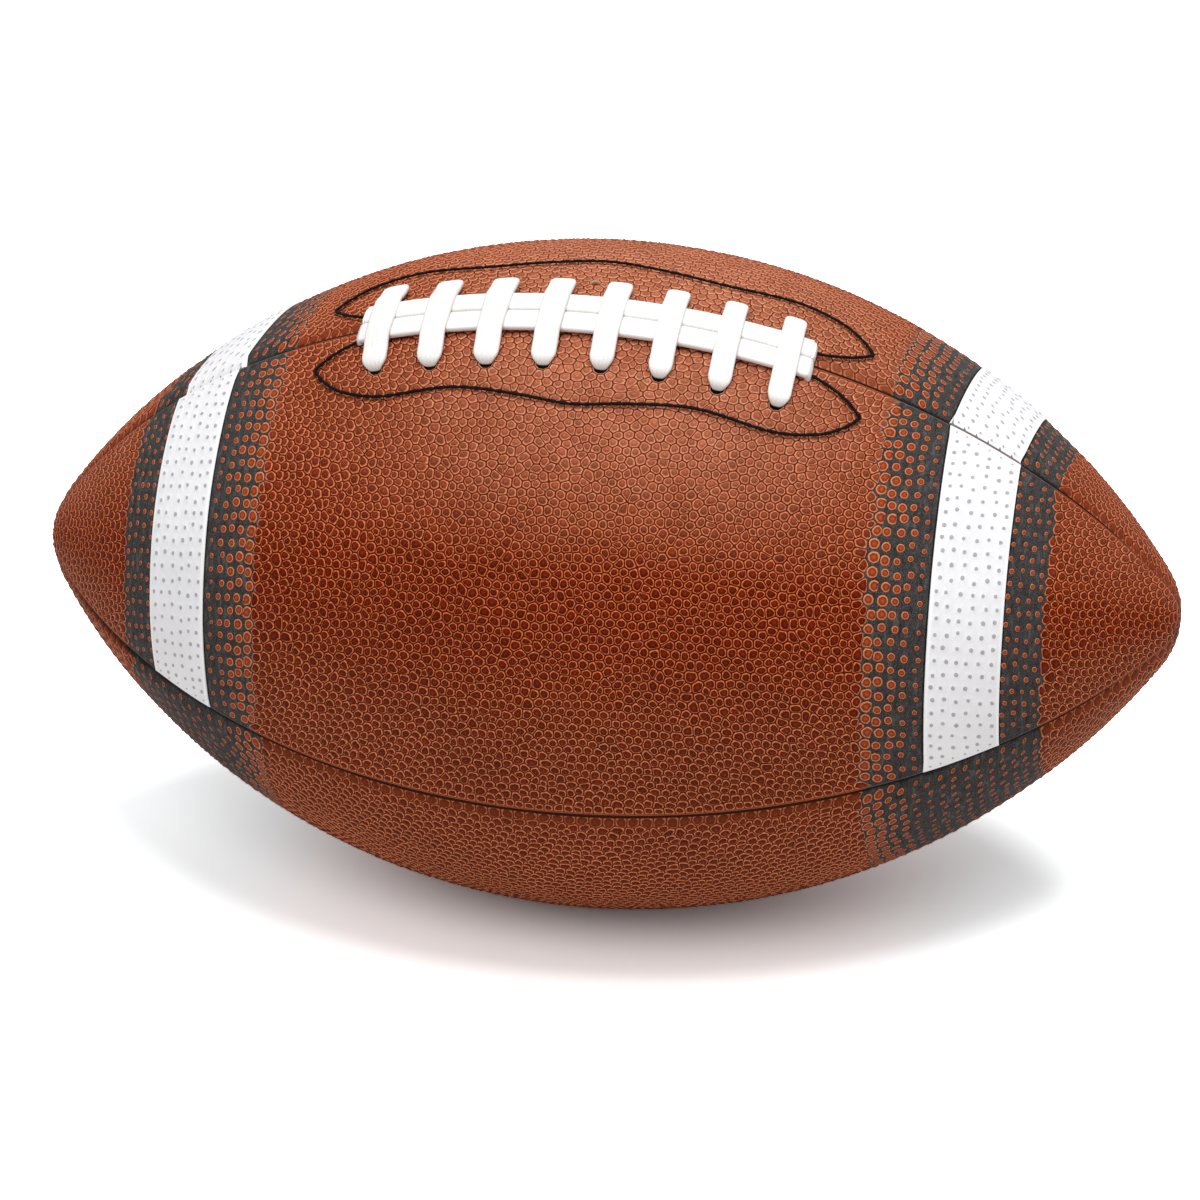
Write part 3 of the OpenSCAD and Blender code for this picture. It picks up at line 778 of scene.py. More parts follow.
def build_panel(panel, material):
    sheet = panel.sheet()
    seeds, free, dots = panel_seeds(panel, sheet)
    seeds = relaxed(sheet, seeds, free)
    turn = panel.middle + seeds[:, 1] / np.maximum(ball_r(seeds[:, 0]), 1.0)
    wall = 0.30 + 0.05 * smooth(0.6, 0.95, np.cos(turn))
    points, faces, level, cell = grow_cells(sheet, seeds, dots, wall)
    u, v = points.T
    gaps = sheet.depth(points)
    seed_x = np.abs(ball_x(seeds[:, 0]))
    in_ink = (seed_x > INK_X[0] - 0.8) & (dots != 0)
    ink = np.where(cell >= 0, in_ink[np.maximum(cell, 0)], 0).astype(float)
    corner = cell < 0
    # A border corner is inked when a cell beside it is
    corner_ink = np.zeros(corner.sum())
    for f in faces:
        if len(f) == 4:
            owner = cell[f[2]]
            if in_ink[owner]:
                corner_ink[f[0]] = 1.0
                corner_ink[f[1]] = 1.0
    ink[corner] = corner_ink
    tint = rng.random(len(seeds))
    tints = np.where(corner, 0.5, tint[np.maximum(cell, 0)])
    dot_of = np.where(corner, 0.0, dots[np.maximum(cell, 0)])
    # The front panel's pebbles are the fullest
    full = 1.25 if panel.name == "panel_lace_near" else 1.0
    # Relief is calmer beside the borders and towards the tips
    calm = smooth(0.2, 1.6, gaps.min(axis=1)) * (1 - 0.3 * smooth(85.0, 130.0, np.abs(ball_x(u))))
    deep = RELIEF * full * (0.8 + 0.4 * rng.random(len(points))) * calm
    dome = (0.1 + 0.13 * tints) * calm * full ** 2
    top = np.where(dot_of > 0, DOT_H, dome)
    bump = np.where(level == 0, -deep, np.where(level == 1, RING_H, top))
    bump = np.where(corner & (ink > 0.5), INK_H, bump)
    bump = np.where(dot_of < 0, PLAIN_H, bump)
    level = np.where(dot_of < 0, 0.0, level)
    height = panel.level(u, v) + bump
    if panel.laced:
        near_line = distance_to(leaf_in_map(panel), points)
        height = height - STITCH_SINK * (1 - smooth(0.3, 1.3, near_line))
    none = np.zeros(len(points))
    marks = dict(level=level, ink=ink, tint=tints, smooth=none, sunk=none, pale=none,
                 crease=none, lip=none)

    def deepen(key, value):
        marks[key] = np.maximum(marks[key], value)

    # Painted shade beside a dipping edge: near black down in the seam, and a darker band where the
    # leather sinks
    for edge, gap in zip(panel.edges, gaps.T):
        if edge.dips:
            deepen("crease", 1 - smooth(0.1, 1.0, gap / (0.9 + 2.2 * edge.open_at(u))))
            deepen("sunk", 1 - smooth(1.0, 4.5, gap))
        else:
            deepen("smooth", 0.8 * (1 - smooth(0.0, 0.9, gap)))
    points, faces, height, marks = close_sheet(
        sheet, (points, faces, height, marks), edge_rows(panel), INNER_SKIN, hole_rows(panel))
    # Ink runs on round the rolled edges
    fresh = np.arange(len(points)) >= len(level)
    x = np.abs(ball_x(points[:, 0]))
    banded = ((x > INK_X[0] + 1.5) & (x < INK_X[1] - 0.8)).astype(float)
    if panel.laced:
        banded = banded * ((x < STRIPE_X[0] + 0.3) | (x > STRIPE_X[1] - 0.3))
    marks["ink"] = np.where(fresh, banded, marks["ink"])
    marks["level"] = np.where(fresh & (banded > 0), 0.0, marks["level"])
    # Painted shade darkens the rolled edges
    marks["sunk"] = np.where(fresh, 1.0, marks["sunk"])
    marks["print_x"] = x
    solid = panel.lift(*points.T, height)
    piece = add_mesh(panel.name + "_leather", solid, faces, marks, material)
    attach(piece, "root")
    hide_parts(panel.name)


# Materials. A colour of three numbers is a picture's, 0 to 255, and one of four is linear.

def linear(colour):
    if not isinstance(colour, tuple) or len(colour) == 4:
        return colour
    parts = [c / 255 for c in colour]
    return (*(c / 12.92 if c <= 0.04045 else ((c + 0.055) / 1.055) ** 2.4 for c in parts), 1.0)


class Wire:
    """The value of a shader node, which can be added and multiplied like a number."""

    def __init__(self, look, socket):
        self.look = look
        self.socket = socket

    def math(self, op, *values, clamp=False):
        return self.look.value("Math", dict(enumerate(values)), operation=op, use_clamp=clamp)

    def __add__(self, other):
        return self.math("ADD", self, other)

    def __sub__(self, other):
        return self.math("SUBTRACT", self, other)

    def __rsub__(self, other):
        return self.math("SUBTRACT", other, self)

    def __mul__(self, other):
        return self.math("MULTIPLY", self, other)

    def __truediv__(self, other):
        return self.math("DIVIDE", self, other)

    def __abs__(self):
        return self.math("ABSOLUTE", self)

    def at_least(self, other):
        return self.math("MAXIMUM", self, other)

    def root(self):
        return self.math("SQRT", self)

    def clamped(self):
        return self.math("ADD", self, 0.0, clamp=True)

    def step(self, low, high, kind="SMOOTHSTEP"):
        """0 below low, 1 above high, and a slope between."""
        return self.look.value("MapRange", {0: self, 1: low, 2: high, 3: 0.0, 4: 1.0},
                               interpolation_type=kind)


class Look:
    """The shader nodes of a material or the world."""

    def __init__(self, owner):
        owner.use_nodes = True
        self.owner = owner
        self.nodes = owner.node_tree.nodes
        self.links = owner.node_tree.links
        self.shader = self.nodes.get("Principled BSDF")

    def link(self, value, socket):
        if isinstance(value, Wire):
            self.links.new(value.socket, socket)
        else:
            socket.default_value = value

    def node(self, kind, inputs=None, **settings):
        n = self.nodes.new("ShaderNode" + kind)
        for key, value in settings.items():
            setattr(n, key, value)
        for key, value in (inputs or {}).items():
            self.link(value, n.inputs[key])
        return n

    def value(self, kind, inputs=None, out=0, **settings):
        return Wire(self, self.node(kind, inputs, **settings).outputs[out])

    def mix(self, share, a, b, blend="MIX"):
        inputs = {0: share, 6: linear(a), 7: linear(b)}
        return self.value("Mix", inputs, 2, data_type="RGBA", blend_type=blend)

    def times(self, colour, factor):
        """A colour times another colour or a single value."""
        return self.mix(1.0, colour, factor, "MULTIPLY")

    def grey(self, value):
        return self.value("CombineColor", {0: value, 1: value, 2: value})

    def mark(self, name):
        return self.value("Attribute", out="Fac", attribute_name=name)

    def spot(self):
        """The place on the ball as x, y and z, in metres."""
        split = self.node("SeparateXYZ", {0: self.value("TexCoord", out="Object")})
        return [Wire(self, out) for out in split.outputs]

    def noise(self, scale, detail=2.0, rough=0.5, stretch=None):
        where = self.value("TexCoord", out="Object")
        if stretch:
            where = self.value("Mapping", {"Vector": where, "Scale": stretch})
        inputs = {"Vector": where, "Scale": scale, "Detail": detail, "Roughness": rough}
        return self.value("TexNoise", inputs, "Fac")

    def ramp(self, value, stops):
        n = self.node("ValToRGB", {0: value})
        spots = n.color_ramp.elements
        while len(spots) < len(stops):
            spots.new(0.5)
        for spot, (at, colour) in zip(spots, stops):
            spot.position = at
            spot.color = linear(colour)
        return Wire(self, n.outputs[0])

    def bump(self, height, strength, distance, under=None):
        inputs = {"Height": height, "Strength": strength, "Distance": distance}
        if under:
            inputs["Normal"] = under
        return self.value("Bump", inputs)

    def finish(self, colour, rough, normal, specular=None):
        self.link(colour, self.shader.inputs["Base Color"])
        self.link(rough, self.shader.inputs["Roughness"])
        self.link(normal, self.shader.inputs["Normal"])
        if specular is not None:
            self.shader.inputs["Specular IOR Level"].default_value = specular
        return self.owner


def new_look(name):
    return Look(bpy.data.materials.new(name))


def topside_and_sheen(look, spot, across, patch):
    """How far the leather faces the lace seam, and how strongly a painted sheen pales it there."""
    around = (spot[1] * spot[1] + spot[2] * spot[2]).root()
    topside = across / around.at_least(0.001)
    central = 1.0 - abs(spot[0] - 0.018).step(0.015, 0.085)
    # Painted sheen: the upper side round the lace is paled where the top light would glint on it
    painted_sheen = topside.step(0.70, 0.99, "LINEAR") * (central * 0.7 + 0.3)
    return topside, (painted_sheen * (patch * 0.6 + 0.62)).clamped()


def pebble_colour(look, wobble, topside, painted_sheen, patch):
    """Each pebble is a dark cup with a thin light rim, partly a painted highlight, and the valley
    between is darker with painted shade.
    """
    half_level = wobble * 0.5
    cups = look.ramp(half_level, [
        (0.0, (89, 31, 12)), (0.24, (107, 41, 19)), (0.38, (226, 134, 92)), (0.50, (222, 130, 88)),
        (0.55, (111, 40, 16)), (0.60, (85, 23, 5)), (0.78, (97, 31, 8)), (1.0, (122, 48, 21))])
    # Under the painted sheen the pebbles are pale plates with whiter rims
    plates = look.ramp(half_level, [
        (0.0, (96, 28, 8)), (0.2, (118, 40, 16)), (0.36, (206, 136, 104)),
        (0.50, (214, 154, 128)), (0.58, (178, 102, 76)), (0.72, (154, 80, 56)),
        (1.0, (178, 106, 80))])
    brown = look.mix(painted_sheen, cups, plates)
    # Where the painted sheen lies, the rims' painted highlights are light only in places
    rim = (1.0 - abs(half_level - 0.44) * 8.0).clamped()
    dull = (1.0 - look.noise(520.0, 1.0).step(0.42, 0.58)) * painted_sheen * rim
    brown = look.mix(dull * 0.75, brown, (150, 76, 50))
    # Painted shade darkens patches of the valleys further
    valley_shade = look.noise(420.0, 1.0).step(0.48, 0.62) * (1.0 - wobble.step(0.15, 0.5))
    brown = look.mix(valley_shade * 0.75, brown, (70, 22, 10))
    shade = (look.mark("tint") - 0.5) * 0.44 + 1.0
    brown = look.mix(wobble.step(1.1, 1.5), brown, look.times(brown, look.grey(shade)))
    # Painted shade, a darker band where the leather sinks into a seam and on its rolled edges
    brown = look.mix(look.mark("sunk") * 0.45, brown, (126, 52, 24))
    brown = look.mix(look.mark("smooth") * 0.7, brown, (146, 66, 36))
    tone = look.noise(22.0, 3.0) * 0.30 + 0.86
    brown = look.times(brown, look.grey((patch - 0.5) * 0.2 + tone))
    # The tan is richest on the upper flanks, paler underneath, and paler still under the painted
    # sheen
    rich = topside.step(0.2, 0.6) * (1.0 - painted_sheen) * (rim * -0.5 + 1.0)
    hue = look.mix(rich, (1.07, 1.12, 1.12, 1), (0.93, 0.64, 0.38, 1))
    brown = look.times(brown, look.mix(painted_sheen, hue, (1.07, 1.15, 1.08, 1)))
    return look.mix(look.mark("pale") * 0.8, brown, (206, 158, 122))


def ink_colour(look, fine, folds, across):
    """Black print with fine grey specks, cracked along its folds, with a painted shadow beside a
    stripe on the upper side.
    """
    ink = look.ramp(fine, [(0.3, (38, 36, 35)), (0.55, (64, 61, 60)), (0.75, (102, 99, 97))])
    ink = look.mix(folds.step(0.54, 0.68) * 0.4, ink, (104, 102, 102))
    ink = look.mix((0.5 - folds.step(0.32, 0.48)).clamped(), ink, (30, 28, 28))
    # Painted shadow: a near-black line beside each stripe edge, on the upper side only
    upper = across.step(0.0, 0.002)
    for line_x in STRIPE_X:
        beside = 1.0 - abs(look.mark("print_x") - line_x).step(0.3, 0.7)
        ink = look.mix(beside * upper, ink, (18, 16, 15))
    return ink


def leather_material():
    look = new_look("leather_pebbled")
    patch = look.noise(130.0)
    grain = look.noise(1500.0, 3.0, 0.6)
    fine = look.noise(3800.0, 2.0, 0.6)
    folds = look.noise(420.0, 2.0, 0.6, stretch=(2.4, 0.7, 0.7))
    wobble = look.mark("level") + (grain - 0.5) * 0.4
    spot = look.spot()
    across = spot[2] * math.cos(LACE_TURN) - spot[1] * math.sin(LACE_TURN)
    topside, painted_sheen = topside_and_sheen(look, spot, across, patch)
    brown = pebble_colour(look, wobble, topside, painted_sheen, patch)
    # Ink covers the leather between the dots. A dot's light rim is a painted highlight, and the
    # dark ring inside it painted shade
    dots = look.ramp(wobble * 0.5, [
        (0.44, (26, 20, 18)), (0.5, (120, 66, 44)), (0.55, (218, 142, 100)),
        (0.61, (196, 112, 72)), (0.68, (112, 42, 20)), (0.80, (150, 62, 31)),
        (1.0, (176, 80, 44))])
    ink = look.mark("ink")
    inked = ink.step(0.45, 0.55)
    printed = inked * (1.0 - wobble.step(0.90, 0.98))
    colour = look.mix(inked, brown, dots)
    colour = look.mix(printed, colour, ink_colour(look, fine, folds, across))
    # A painted highlight along a lip: light tan on the leather, light grey on the ink
    lip = look.mix(ink, (206, 128, 88), (112, 106, 102))
    colour = look.mix(look.mark("lip") * 0.85, colour, lip)
    # Painted shade, near black down in the seams
    colour = look.mix(look.mark("crease").step(0.5, 1.0) * 0.9, colour, (22, 10, 6))
    wrinkle = look.noise(700.0, 3.0, 0.6, stretch=(1.6, 0.6, 1.0))
    height = fine * 0.35 + (wrinkle * 1.1 + grain) + folds * printed * 2.4
    greys = ((0.0, 0.0), (0.3, 0.5), (0.47, 1.0), (0.62, 0.5), (0.75, 0.45), (1.0, 0.6))
    rims = look.ramp(wobble * 0.5, [(at, (g, g, g, 1)) for at, g in greys])
    normal = look.bump(rims, 0.8, 0.00024, look.bump(height, 0.55, 0.00016))
    return look.finish(colour, grain * 0.25 + 0.38 + printed * 0.12, normal, 0.05)


def coating_material():
    look = new_look("coating_white")
    grain = look.noise(2200.0, 2.0, 0.6)
    dimple = (look.mark("level") + (grain - 0.5) * 0.5).step(0.9, 1.12)
    white = look.ramp(look.noise(60.0), [(0.3, (238, 237, 239)), (0.7, (246, 245, 247))])
    grey = look.ramp(grain, [(0.3, (158, 158, 161)), (0.7, (190, 189, 191))])
    colour = look.mix(dimple, white, grey)
    # A painted highlight: a thin whiter line just inside each edge of the stripe
    for line_x in (STRIPE_X[0] + 0.2, STRIPE_X[1] - 0.2):
        beside = 1.0 - abs(look.mark("print_x") - line_x).step(0.2, 0.5)
        colour = look.mix(beside, colour, (252, 252, 252))
    colour = look.mix(look.mark("smooth"), colour, (240, 240, 240))
    # The coat is nicked at each stitch where the far panel sinks under the seam
    near = look.mark("puckers")
    stitch = look.spot()[0] / 0.0028
    beat = abs(look.value("Math", {0: stitch}, operation="FRACT") - 0.5)
    nick = near * 0.16 - (grain * 0.1 + beat)
    nick = nick.step(-0.02, 0.03).at_least(near.step(0.90, 0.98))
    colour = look.mix(nick * 0.85, colour, (84, 48, 34))
    creases = look.noise(260.0, 2.0, 0.6, stretch=(2.2, 0.6, 0.6))
    normal = look.bump(creases * 2.2 + grain, 0.5, 0.00012)
    return look.finish(colour, grain * 0.2 + 0.42, normal, 0.25)


def woven_material(name, low, high, rough, threads=7000.0, specular=None):
    """Cloth or cord: two crossed waves and a little noise."""
    look = new_look(name)
    where = look.value("TexCoord", out="Object")
    wave = {"Vector": where, "Scale": threads / 6.28, "Distortion": 1.2, "Detail": 1.0}
    weave = (look.value("TexWave", wave, "Fac", bands_direction="X")
             * look.value("TexWave", wave, "Fac", bands_direction="Y"))
    grain = look.noise(900.0, 3.0, 0.6)
    colour = look.ramp(weave * 0.4 + grain * 0.6, [(0.15, low), (0.7, high)])
    normal = look.bump(grain * 0.5 + weave, 0.4, 0.00006)
    return look.finish(colour, grain * 0.15 + rough, normal, specular)


def lace_material():
    """Flat braid: yarns slant to both sides of its middle, and painted shade darkens it where it
    goes down into its holes.
    """
    look = new_look("lace_white_weave")
    across = look.mark("across")
    slant = (abs(across) * 2.4 + look.mark("along")) * 6.6
    yarn = look.value("Math", {0: slant}, operation="SINE")
    rib = look.value("Math", {0: across * 15.7}, operation="COSINE")
    grain = look.noise(1200.0, 3.0, 0.6)
    height = yarn * 0.3 + rib * 0.35 + grain
    tone = height * 0.2 + look.noise(80.0) * 0.8
    colour = look.ramp(tone, [(0.25, (226, 224, 220)), (0.65, (243, 242, 240))])
    # Painted shade, dark brown where the lace dips into a hole
    colour = look.mix(look.mark("painted_hole_shade").step(0.1, 0.75), colour, (34, 20, 14))
    normal = look.bump(height, 0.35, 0.00007)
    return look.finish(colour, grain * 0.15 + 0.6, normal, 0.2)


def rubber_material(name, low, high):
    look = new_look(name)
    grain = look.noise(600.0, 3.0, 0.6)
    colour = look.ramp(look.noise(40.0), [(0.3, low), (0.7, high)])
    return look.finish(colour, grain * 0.2 + 0.5, look.bump(grain, 0.3, 0.0001))


# Stripes

COAT_T = 0.2
COAT_INSIDE = 0.25


def build_stripe(panel, side, name, material):
    """A white coated band on a laced panel, from seam to seam."""
    ends = sorted(float(u_at(side * x)) for x in STRIPE_X)
    sheet = panel.sheet(ends[0], ends[1], holes=False)
    u = np.array([float(u_at(side * x)) for x in STRIPE_COLUMNS])
    seeds = columns(np.repeat(u, len(DOT_ROWS)), np.tile(DOT_ROWS, len(u)))
    seeds = seeds + rng.normal(0, DIMPLE_STRAY, seeds.shape)
    gaps = sheet.depth(seeds)
    seeds = seeds[(gaps[:, :2].min(axis=1) > DIMPLE_FAR) & (gaps[:, 2:].min(axis=1) > 0.75)]
    dots = rng.uniform(0.46, 0.62, len(seeds))
    # Small dimples along the seams let the coat follow the leather down
    for border, sign in SIDES:
        row = columns(u, sign * (sheet.half(u, border) - SMALL_FAR))
        seeds = np.concatenate([seeds, row])
        dots = np.concatenate([dots, np.full(len(u), 0.3)])
    points, faces, level, _ = grow_cells(sheet, seeds, dots)
    bump = np.where(level == 0, 0.0, np.where(level == 1, 0.03, 0.2))
    height = panel.level(*points.T) + COAT_T + bump
    marks = dict(level=level, smooth=np.zeros(len(points)))
    far_edge = sheet.depth(points)[:, 1] if "far" in name else np.full(len(points), 9.0)
    marks["puckers"] = 1 - np.minimum(far_edge / 1.2, 1.0)

    def row_at(turn, down):
        def row(at, border):
            low, high = (e.roll_at(at[:, 0]) for e in panel.edges)
            out = np.where(border == 0, 0.75 * low, np.where(border == 1, 0.75 * high, 0.16))
            drop = np.where(border == 0, low, np.where(border == 1, high, 0.12))
            height = panel.level(*at.T) + COAT_T - drop * (1 - math.cos(turn)) - down
            pucker = (border == 1) * (1.0 if "far" in name else 0.0)
            return out * math.sin(turn), height, dict(smooth=1.0, puckers=pucker)
        return row

    rows_down = [row_at(share * math.pi / 2, down) for share, down in (
        (0.35, 0.0), (0.7, 0.0), (0.95, 0.12), (0.8, 0.5), (0.2, 0.45))]
    points, faces, height, marks = close_sheet(
        sheet, (points, faces, height, marks), rows_down, COAT_INSIDE)
    marks["print_x"] = np.abs(ball_x(points[:, 0]))
    solid = panel.lift(*points.T, height)
    piece = add_mesh(name + "_coating", solid, faces, marks, material)
    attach(piece, "root")
    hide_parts(name)


# Swept pieces

def frame_at(x, s):
    """Directions along the ball and across it at a surface point beside the lace seam."""
    a = tilt(u_at(x))
    t = surface_t(x, s) + LACE_TURN + twist(x, 0.0)
    along = columns(np.cos(a), np.sin(a) * np.sin(t), -np.sin(a) * np.cos(t))
    sideways = columns(0.0, -np.cos(t), -np.sin(t))
    return along, sideways


def unit(v):
    return v / np.maximum(np.linalg.norm(v, axis=-1, keepdims=True), 1e-9)


def sweep(route, section):
    """A strip along [x, s, height, turn, half width, half thickness] rows."""
    x, s, h, turn, wide, thick = route.T
    centre = place(u_at(x), surface_t(x, s), h)
    ahead = unit(np.gradient(centre, axis=0))
    along, sideways = frame_at(x, s)
    out = np.cos(turn)[:, None] * along + np.sin(turn)[:, None] * sideways
    across = unit(out - (out * ahead).sum(axis=1)[:, None] * ahead)
    up = np.cross(ahead, across)
    points = (centre[:, None] + across[:, None] * (section[None, :, :1] * wide[:, None, None])
              + up[:, None] * (section[None, :, 1:] * thick[:, None, None]))
    n, m = len(route), len(section)
    faces = []
    for i in range(n - 1):
        for j in range(m):
            k = (j + 1) % m
            faces.append([i * m + j, i * m + k, (i + 1) * m + k, (i + 1) * m + j])
    faces.append(list(range(m - 1, -1, -1)))
    faces.append([(n - 1) * m + j for j in range(m)])
    return points.reshape(-1, 3), faces


def rounded_section(count, power):
    turn = np.arange(count) * 2 * math.pi / count
    c, s = np.cos(turn), np.sin(turn)
    return columns(np.sign(c) * np.abs(c) ** (2 / power), np.sign(s) * np.abs(s) ** (2 / power))


LACE_W = 6.3
LACE_T = 1.9
FIT = 0.15
FACING_BOTTOM = 4.6
BEND = 0.8 * LACE_T
RUN_BEND = 0.9 * LACE_T
SLOT_X = LAST_HOLE + 0.9 * LACE_W
STRAND_SHIFT = -0.35


def lace_route():
    """The lace's whole way, from one tail over a strand, the cross turns and back."""
    flat, drawn, run = LACE_W / 2, 0.33 * LACE_W, 0.42 * LACE_W
    half = LACE_T / 2
    strand_w = 0.99 * flat
    low = half - FIT
    over = low + LACE_T - 0.06
    run_t = 0.9 * LACE_T
    run_depth = FACING_BOTTOM + FIT + run_t / 2
    head = 2 * strand_w - 0.2 * LACE_T
    side = math.pi / 2
    # Rows of (offset from the hole, height, share of the width), from the hole to the crown
    near_rows = [
        (0.0, -FACING_BOTTOM + FIT, 0.66), (-0.5, -1.7, 0.42), (-0.45, -0.9, 0.46),
        (-0.5, -0.3, 0.62), (-0.75, 0.25, 0.79), (-1.3, 0.72, 0.93), (-2.2, 1.05, 1.0),
        (-3.3, 1.25, 1.0), (-4.8, 1.45, 1.0), (-6.5, 2.0, 1.0), (-8.3, 2.5, 1.0)]
    far_rows = [
        (0.0, -FACING_BOTTOM + FIT, 0.66), (-0.3, -1.6, 0.5), (-0.3, -0.7, 0.66),
        (-0.5, 0.2, 0.78), (-1.0, 0.85, 0.9), (-1.9, 1.25, 0.99),
        (-3.2, 1.45, 1.0), (-4.8, 1.6, 1.0), (-6.5, 2.0, 1.0), (-8.3, 2.5, 1.0)]
    crown = [(0.8 * head, over - 0.05), (head / 2, over)]

    def cross(x):
        near, far = hole_s(x), hole_s(x, True)
        near_w = flat * (1 - 0.1 * float(smooth(-30.0, 30.0, x)))
        far_w = flat * (1.05 - 0.16 * float(smooth(-30.0, 40.0, x)))
        rows = [(x, near + s, h, 0.0, k * near_w, half) for s, h, k in near_rows]
        rows += [(x, s, h, 0.0, near_w, half) for s, h in crown]
        rows += [(x, 0.0, over, 0.0, (near_w + far_w) / 2, half)]
        rows += [(x, -s, h, 0.0, far_w, half) for s, h in reversed(crown)]
        return rows + [(x, -far - s, h, 0.0, k * far_w, half) for s, h, k in reversed(far_rows)]

    run_half = HOLE_S - RUN_BEND
    run_turn = math.atan2(HOLE_PITCH, 2 * run_half)

    def under(x):
        rows = []
        for k in range(5):
            s = -run_half + 2 * run_half * k / 4
            rows.append((x - HOLE_PITCH * k / 4, s, -run_depth, run_turn,
                         drawn if k in (0, 4) else run, run_t / 2))
        return rows

    edge = SLOT_X - BEND
    end = [(SLOT_X, -FACING_BOTTOM, 0.86), (SLOT_X, -LACE_T / 4, 0.93),
           (SLOT_X - BEND / 3, half, 0.98)]

    def strand(sign, up):
        s = STRAND_SHIFT + sign * strand_w
        rows = [(-x, s, h, side, k * strand_w, half) for x, h, k in end]
        rows += [(x, s, low + up, side, strand_w, half) for x in np.linspace(-edge, edge, 12)]
        return rows + [(x, s, h, side, k * strand_w, half) for x, h, k in reversed(end)]

    bend_r = SLOT_X - RUN_BEND - LAST_HOLE
    inner = []
    for k in range(4):
        turn = math.pi / 2 * k / 3
        inner.append((LAST_HOLE + bend_r * (1 - math.sin(turn)),
                      strand_w + bend_r * (1 - math.cos(turn)), -run_depth, math.pi / 2 - turn,
                      run, run_t / 2))
    inner.append((LAST_HOLE, run_half, -run_depth, 0.0, drawn, run_t / 2))
    tail = [(SLOT_X + RUN_BEND, -strand_w, -run_depth, side, flat, run_t / 2),
            (SLOT_X + LACE_W, -strand_w, -run_depth, side, flat, run_t / 2)]

    def turned(rows):
        return [(-x, -s, h, turn, w, t) for x, s, h, turn, w, t in reversed(rows)]

    rows = turned(tail) + strand(1, 0.0) + inner
    for i in range(HOLE_COUNT - 1, -1, -1):
        x = HOLE_PITCH * i - LAST_HOLE
        rows += cross(x)
        if i:
            rows += under(x)
    return np.array(rows + turned(inner) + strand(-1, 0.3) + tail)


def build_lace(material):
    route = spline(lace_route(), 5)
    section = rounded_section(20, 3.4)
    points, faces = sweep(route, section)
    centre = points.reshape(len(route), len(section), 3).mean(axis=1)
    along = np.concatenate([[0], np.cumsum(np.linalg.norm(np.diff(centre, axis=0), axis=1))])
    # The last mark says where the lace goes down into a hole, for painted shade
    marks = dict(across=np.tile(section[:, 0], len(route)), along=np.repeat(along, len(section)),
                 painted_hole_shade=np.repeat(1 - smooth(-1.3, -0.3, route[:, 2]), len(section)))
    piece = add_mesh("lace_flat_woven", points, faces, marks, material)
    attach(piece, "root")
    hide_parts("lace")


# Length of a stitch, and of the steps in which the thread is drawn
STITCH_LEN = 3.1
STITCH_STEP = 0.3


def build_stitches(name, sign, material):
    """One thread round the leaf, pinched where it goes through the leather."""
    along = np.concatenate([[0], np.cumsum(np.hypot(*np.diff(LEAF, axis=0).T))])
    where = np.linspace(0, along[-1], int(along[-1] / STITCH_STEP))
    x = np.interp(where, along, LEAF[:, 0])
    s = sign * np.interp(where, along, LEAF[:, 1])
    stitch = np.abs(np.sin(where * math.pi / STITCH_LEN)) ** 0.35
    turn = np.arctan2(np.gradient(s), np.gradient(x)) + math.pi / 2
    wide = 0.29 + 0.15 * stitch + 0.05 * np.sin(where * 2.3)
    rows = columns(x, s, -0.12 + 0.16 * stitch, turn, wide, 0.2 + 0.14 * stitch)
    points, faces = sweep(rows, rounded_section(10, 2.2))
    piece = add_mesh(name + "_thread", points, faces, {}, material)
    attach(piece, "root")
    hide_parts(name)


leather = leather_material()
coating = coating_material()
for panel in PANELS:
    build_panel(panel, leather)
by_name = {panel.name: panel for panel in PANELS}
for half_name in ("near", "far"):
    panel = by_name["panel_lace_" + half_name]
    for side, side_name in ((-1, "left"), (1, "right")):
        build_stripe(panel, side, "stripe_" + half_name + "_" + side_name, coating)
build_lace(lace_material())
thread = woven_material("thread_black_wax", (4, 3, 3), (16, 13, 12), 0.6, 2500.0, 0.08)
build_stitches("facing_stitch_near", 1, thread)
build_stitches("facing_stitch_far", -1, thread)

lining = woven_material("lining_woven", (196, 188, 172), (228, 222, 208), 0.8)
facing = woven_material("facing_woven", (72, 58, 46), (110, 92, 74), 0.8)
seam = woven_material("seam_thread_waxed", (206, 198, 184), (236, 230, 218), 0.6)
rubber = rubber_material("bladder_butyl", (26, 26, 29), (44, 44, 48))
core = rubber_material("valve_core_rubber", (122, 38, 30), (150, 54, 44))
INSIDE = {
    "lining_": lining, "facing_near": facing, "facing_far": facing, "seam_thread_": seam,
    "bladder": rubber, "valve_boot": rubber, "valve_core": core}
for name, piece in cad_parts.items():
    for start, material in INSIDE.items():
        if name.startswith(start):
            if not piece.material_slots:
                piece.data.materials.append(material)
            for slot in piece.material_slots:
                slot.material = material

# Floor, light and camera

def white_for_camera(look, shade, white):
    """shade for light that bounces, and white for what the camera or a gloss sees."""
    path = look.node("LightPath").outputs
    camera, glossy, through = (
        Wire(look, path[f"Is {kind} Ray"]) for kind in ("Camera", "Glossy", "Transmission"))
    return look.mix(camera, look.mix(glossy.at_least(through), shade, (1, 1, 1, 1)), white)


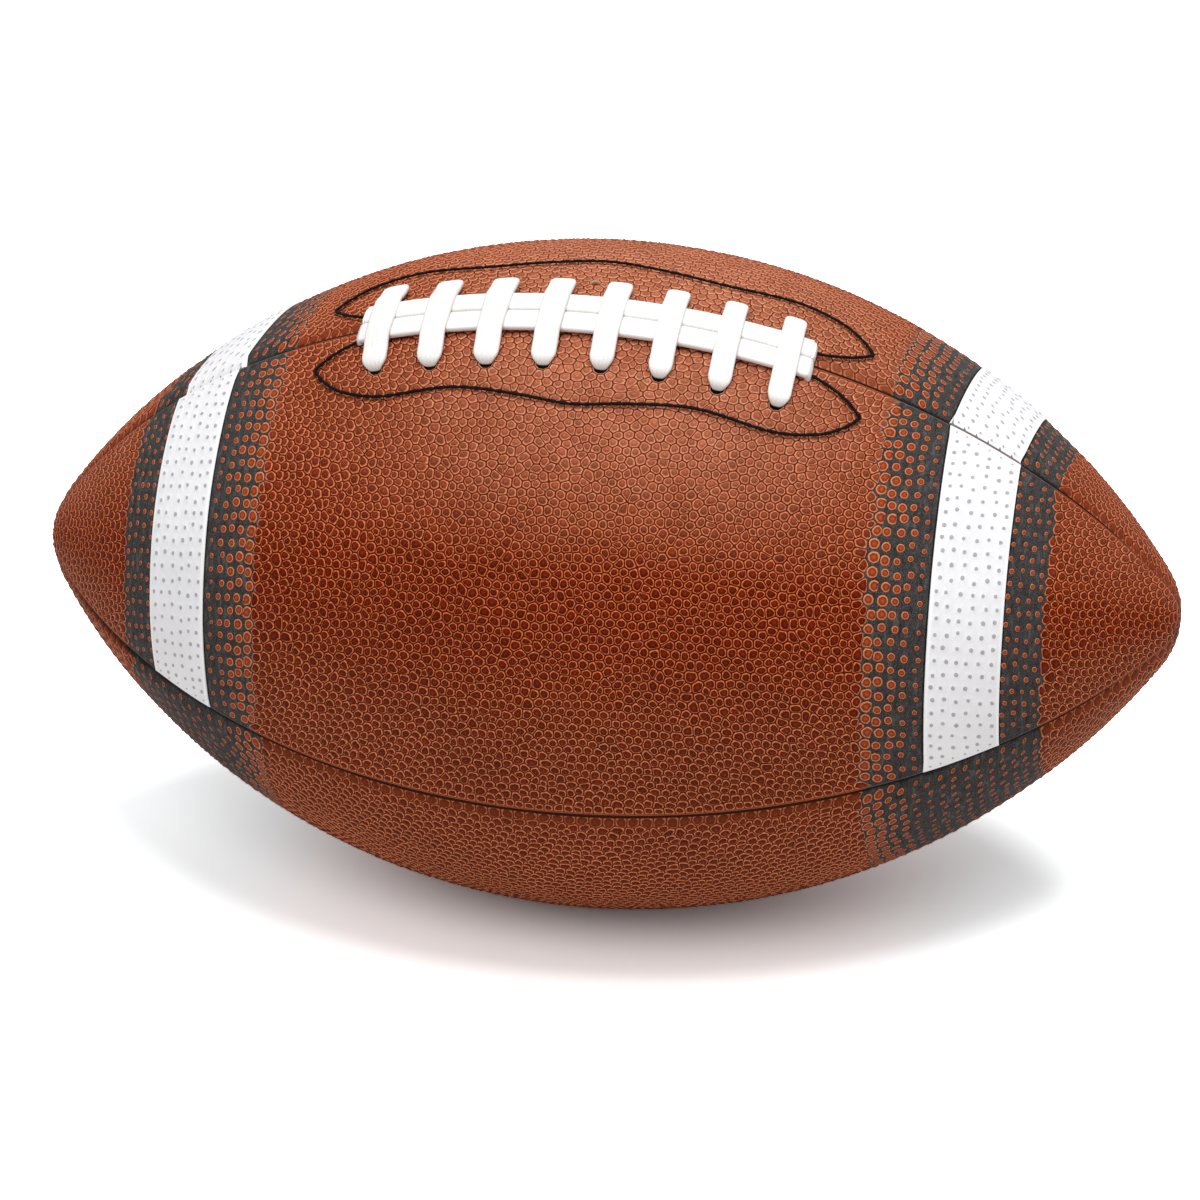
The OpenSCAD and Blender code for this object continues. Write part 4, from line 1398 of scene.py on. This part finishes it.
FLOOR = 3.0
FLOOR_Z = (REST_FLAT - MID_R) * MM
floor_mesh = bpy.data.meshes.new("floor")
floor_mesh.from_pydata([(x * FLOOR, y * FLOOR, FLOOR_Z) for x, y in
                        ((-1, -1), (1, -1), (1, 1), (-1, 1))], [], [[0, 1, 2, 3]])
floor = in_scene("floor", floor_mesh)
look = new_look("floor_white")
look.nodes.remove(look.shader)
shown = white_for_camera(look, (0.78, 0.77, 0.76, 1), (2.36, 2.48, 2.50, 1))
look.link(look.value("BsdfDiffuse", {"Color": shown}),
          look.nodes["Material Output"].inputs["Surface"])
floor_mesh.materials.append(look.owner)

world = bpy.data.worlds.new("studio")
bpy.context.scene.world = world
look = Look(world)
back = look.nodes["Background"].inputs
look.link(white_for_camera(look, (0.40, 0.40, 0.405, 1), (1.0, 1.0, 1.0, 1)), back["Color"])
back["Strength"].default_value = 1.0


def aimed(name, data, where, aim):
    """A lamp or camera at where that looks at aim."""
    obj = in_scene(name, data)
    obj.location = where
    obj.rotation_mode = "QUATERNION"
    obj.rotation_quaternion = (where - aim).to_track_quat("Z", "Y")
    return obj


for name, where, size, power in (("top_light", (0.18, -0.20, 1.2), 0.9, 12.5),
                                 ("front_light", (-0.2, -1.3, 1.1), 1.0, 5.2)):
    lamp = bpy.data.lights.new(name, "AREA")
    lamp.shape = "DISK"
    lamp.size = size
    lamp.energy = power
    aimed(name, lamp, Vector(where), Vector())

VIEW_AZ = math.radians(11.23)
VIEW_EL = math.radians(23.15)
VIEW_FAR = 1.2
away = Vector((math.sin(VIEW_AZ) * math.cos(VIEW_EL), -math.cos(VIEW_AZ) * math.cos(VIEW_EL),
               math.sin(VIEW_EL)))
right = Vector((math.cos(VIEW_AZ), math.sin(VIEW_AZ), 0))
upward = away.cross(right)
# The picture's centre lies a little below the ball's centre and to its left
aim = -6.6 * MM * upward - 1.7 * MM * right
camera_data = bpy.data.cameras.new("camera")
camera_data.lens = 143.73
camera_data.sensor_width = 36.0
bpy.context.scene.camera = aimed("camera", camera_data, VIEW_FAR * away, aim)
bpy.context.scene.view_settings.view_transform = "Standard"

bpy.context.view_layer.update()
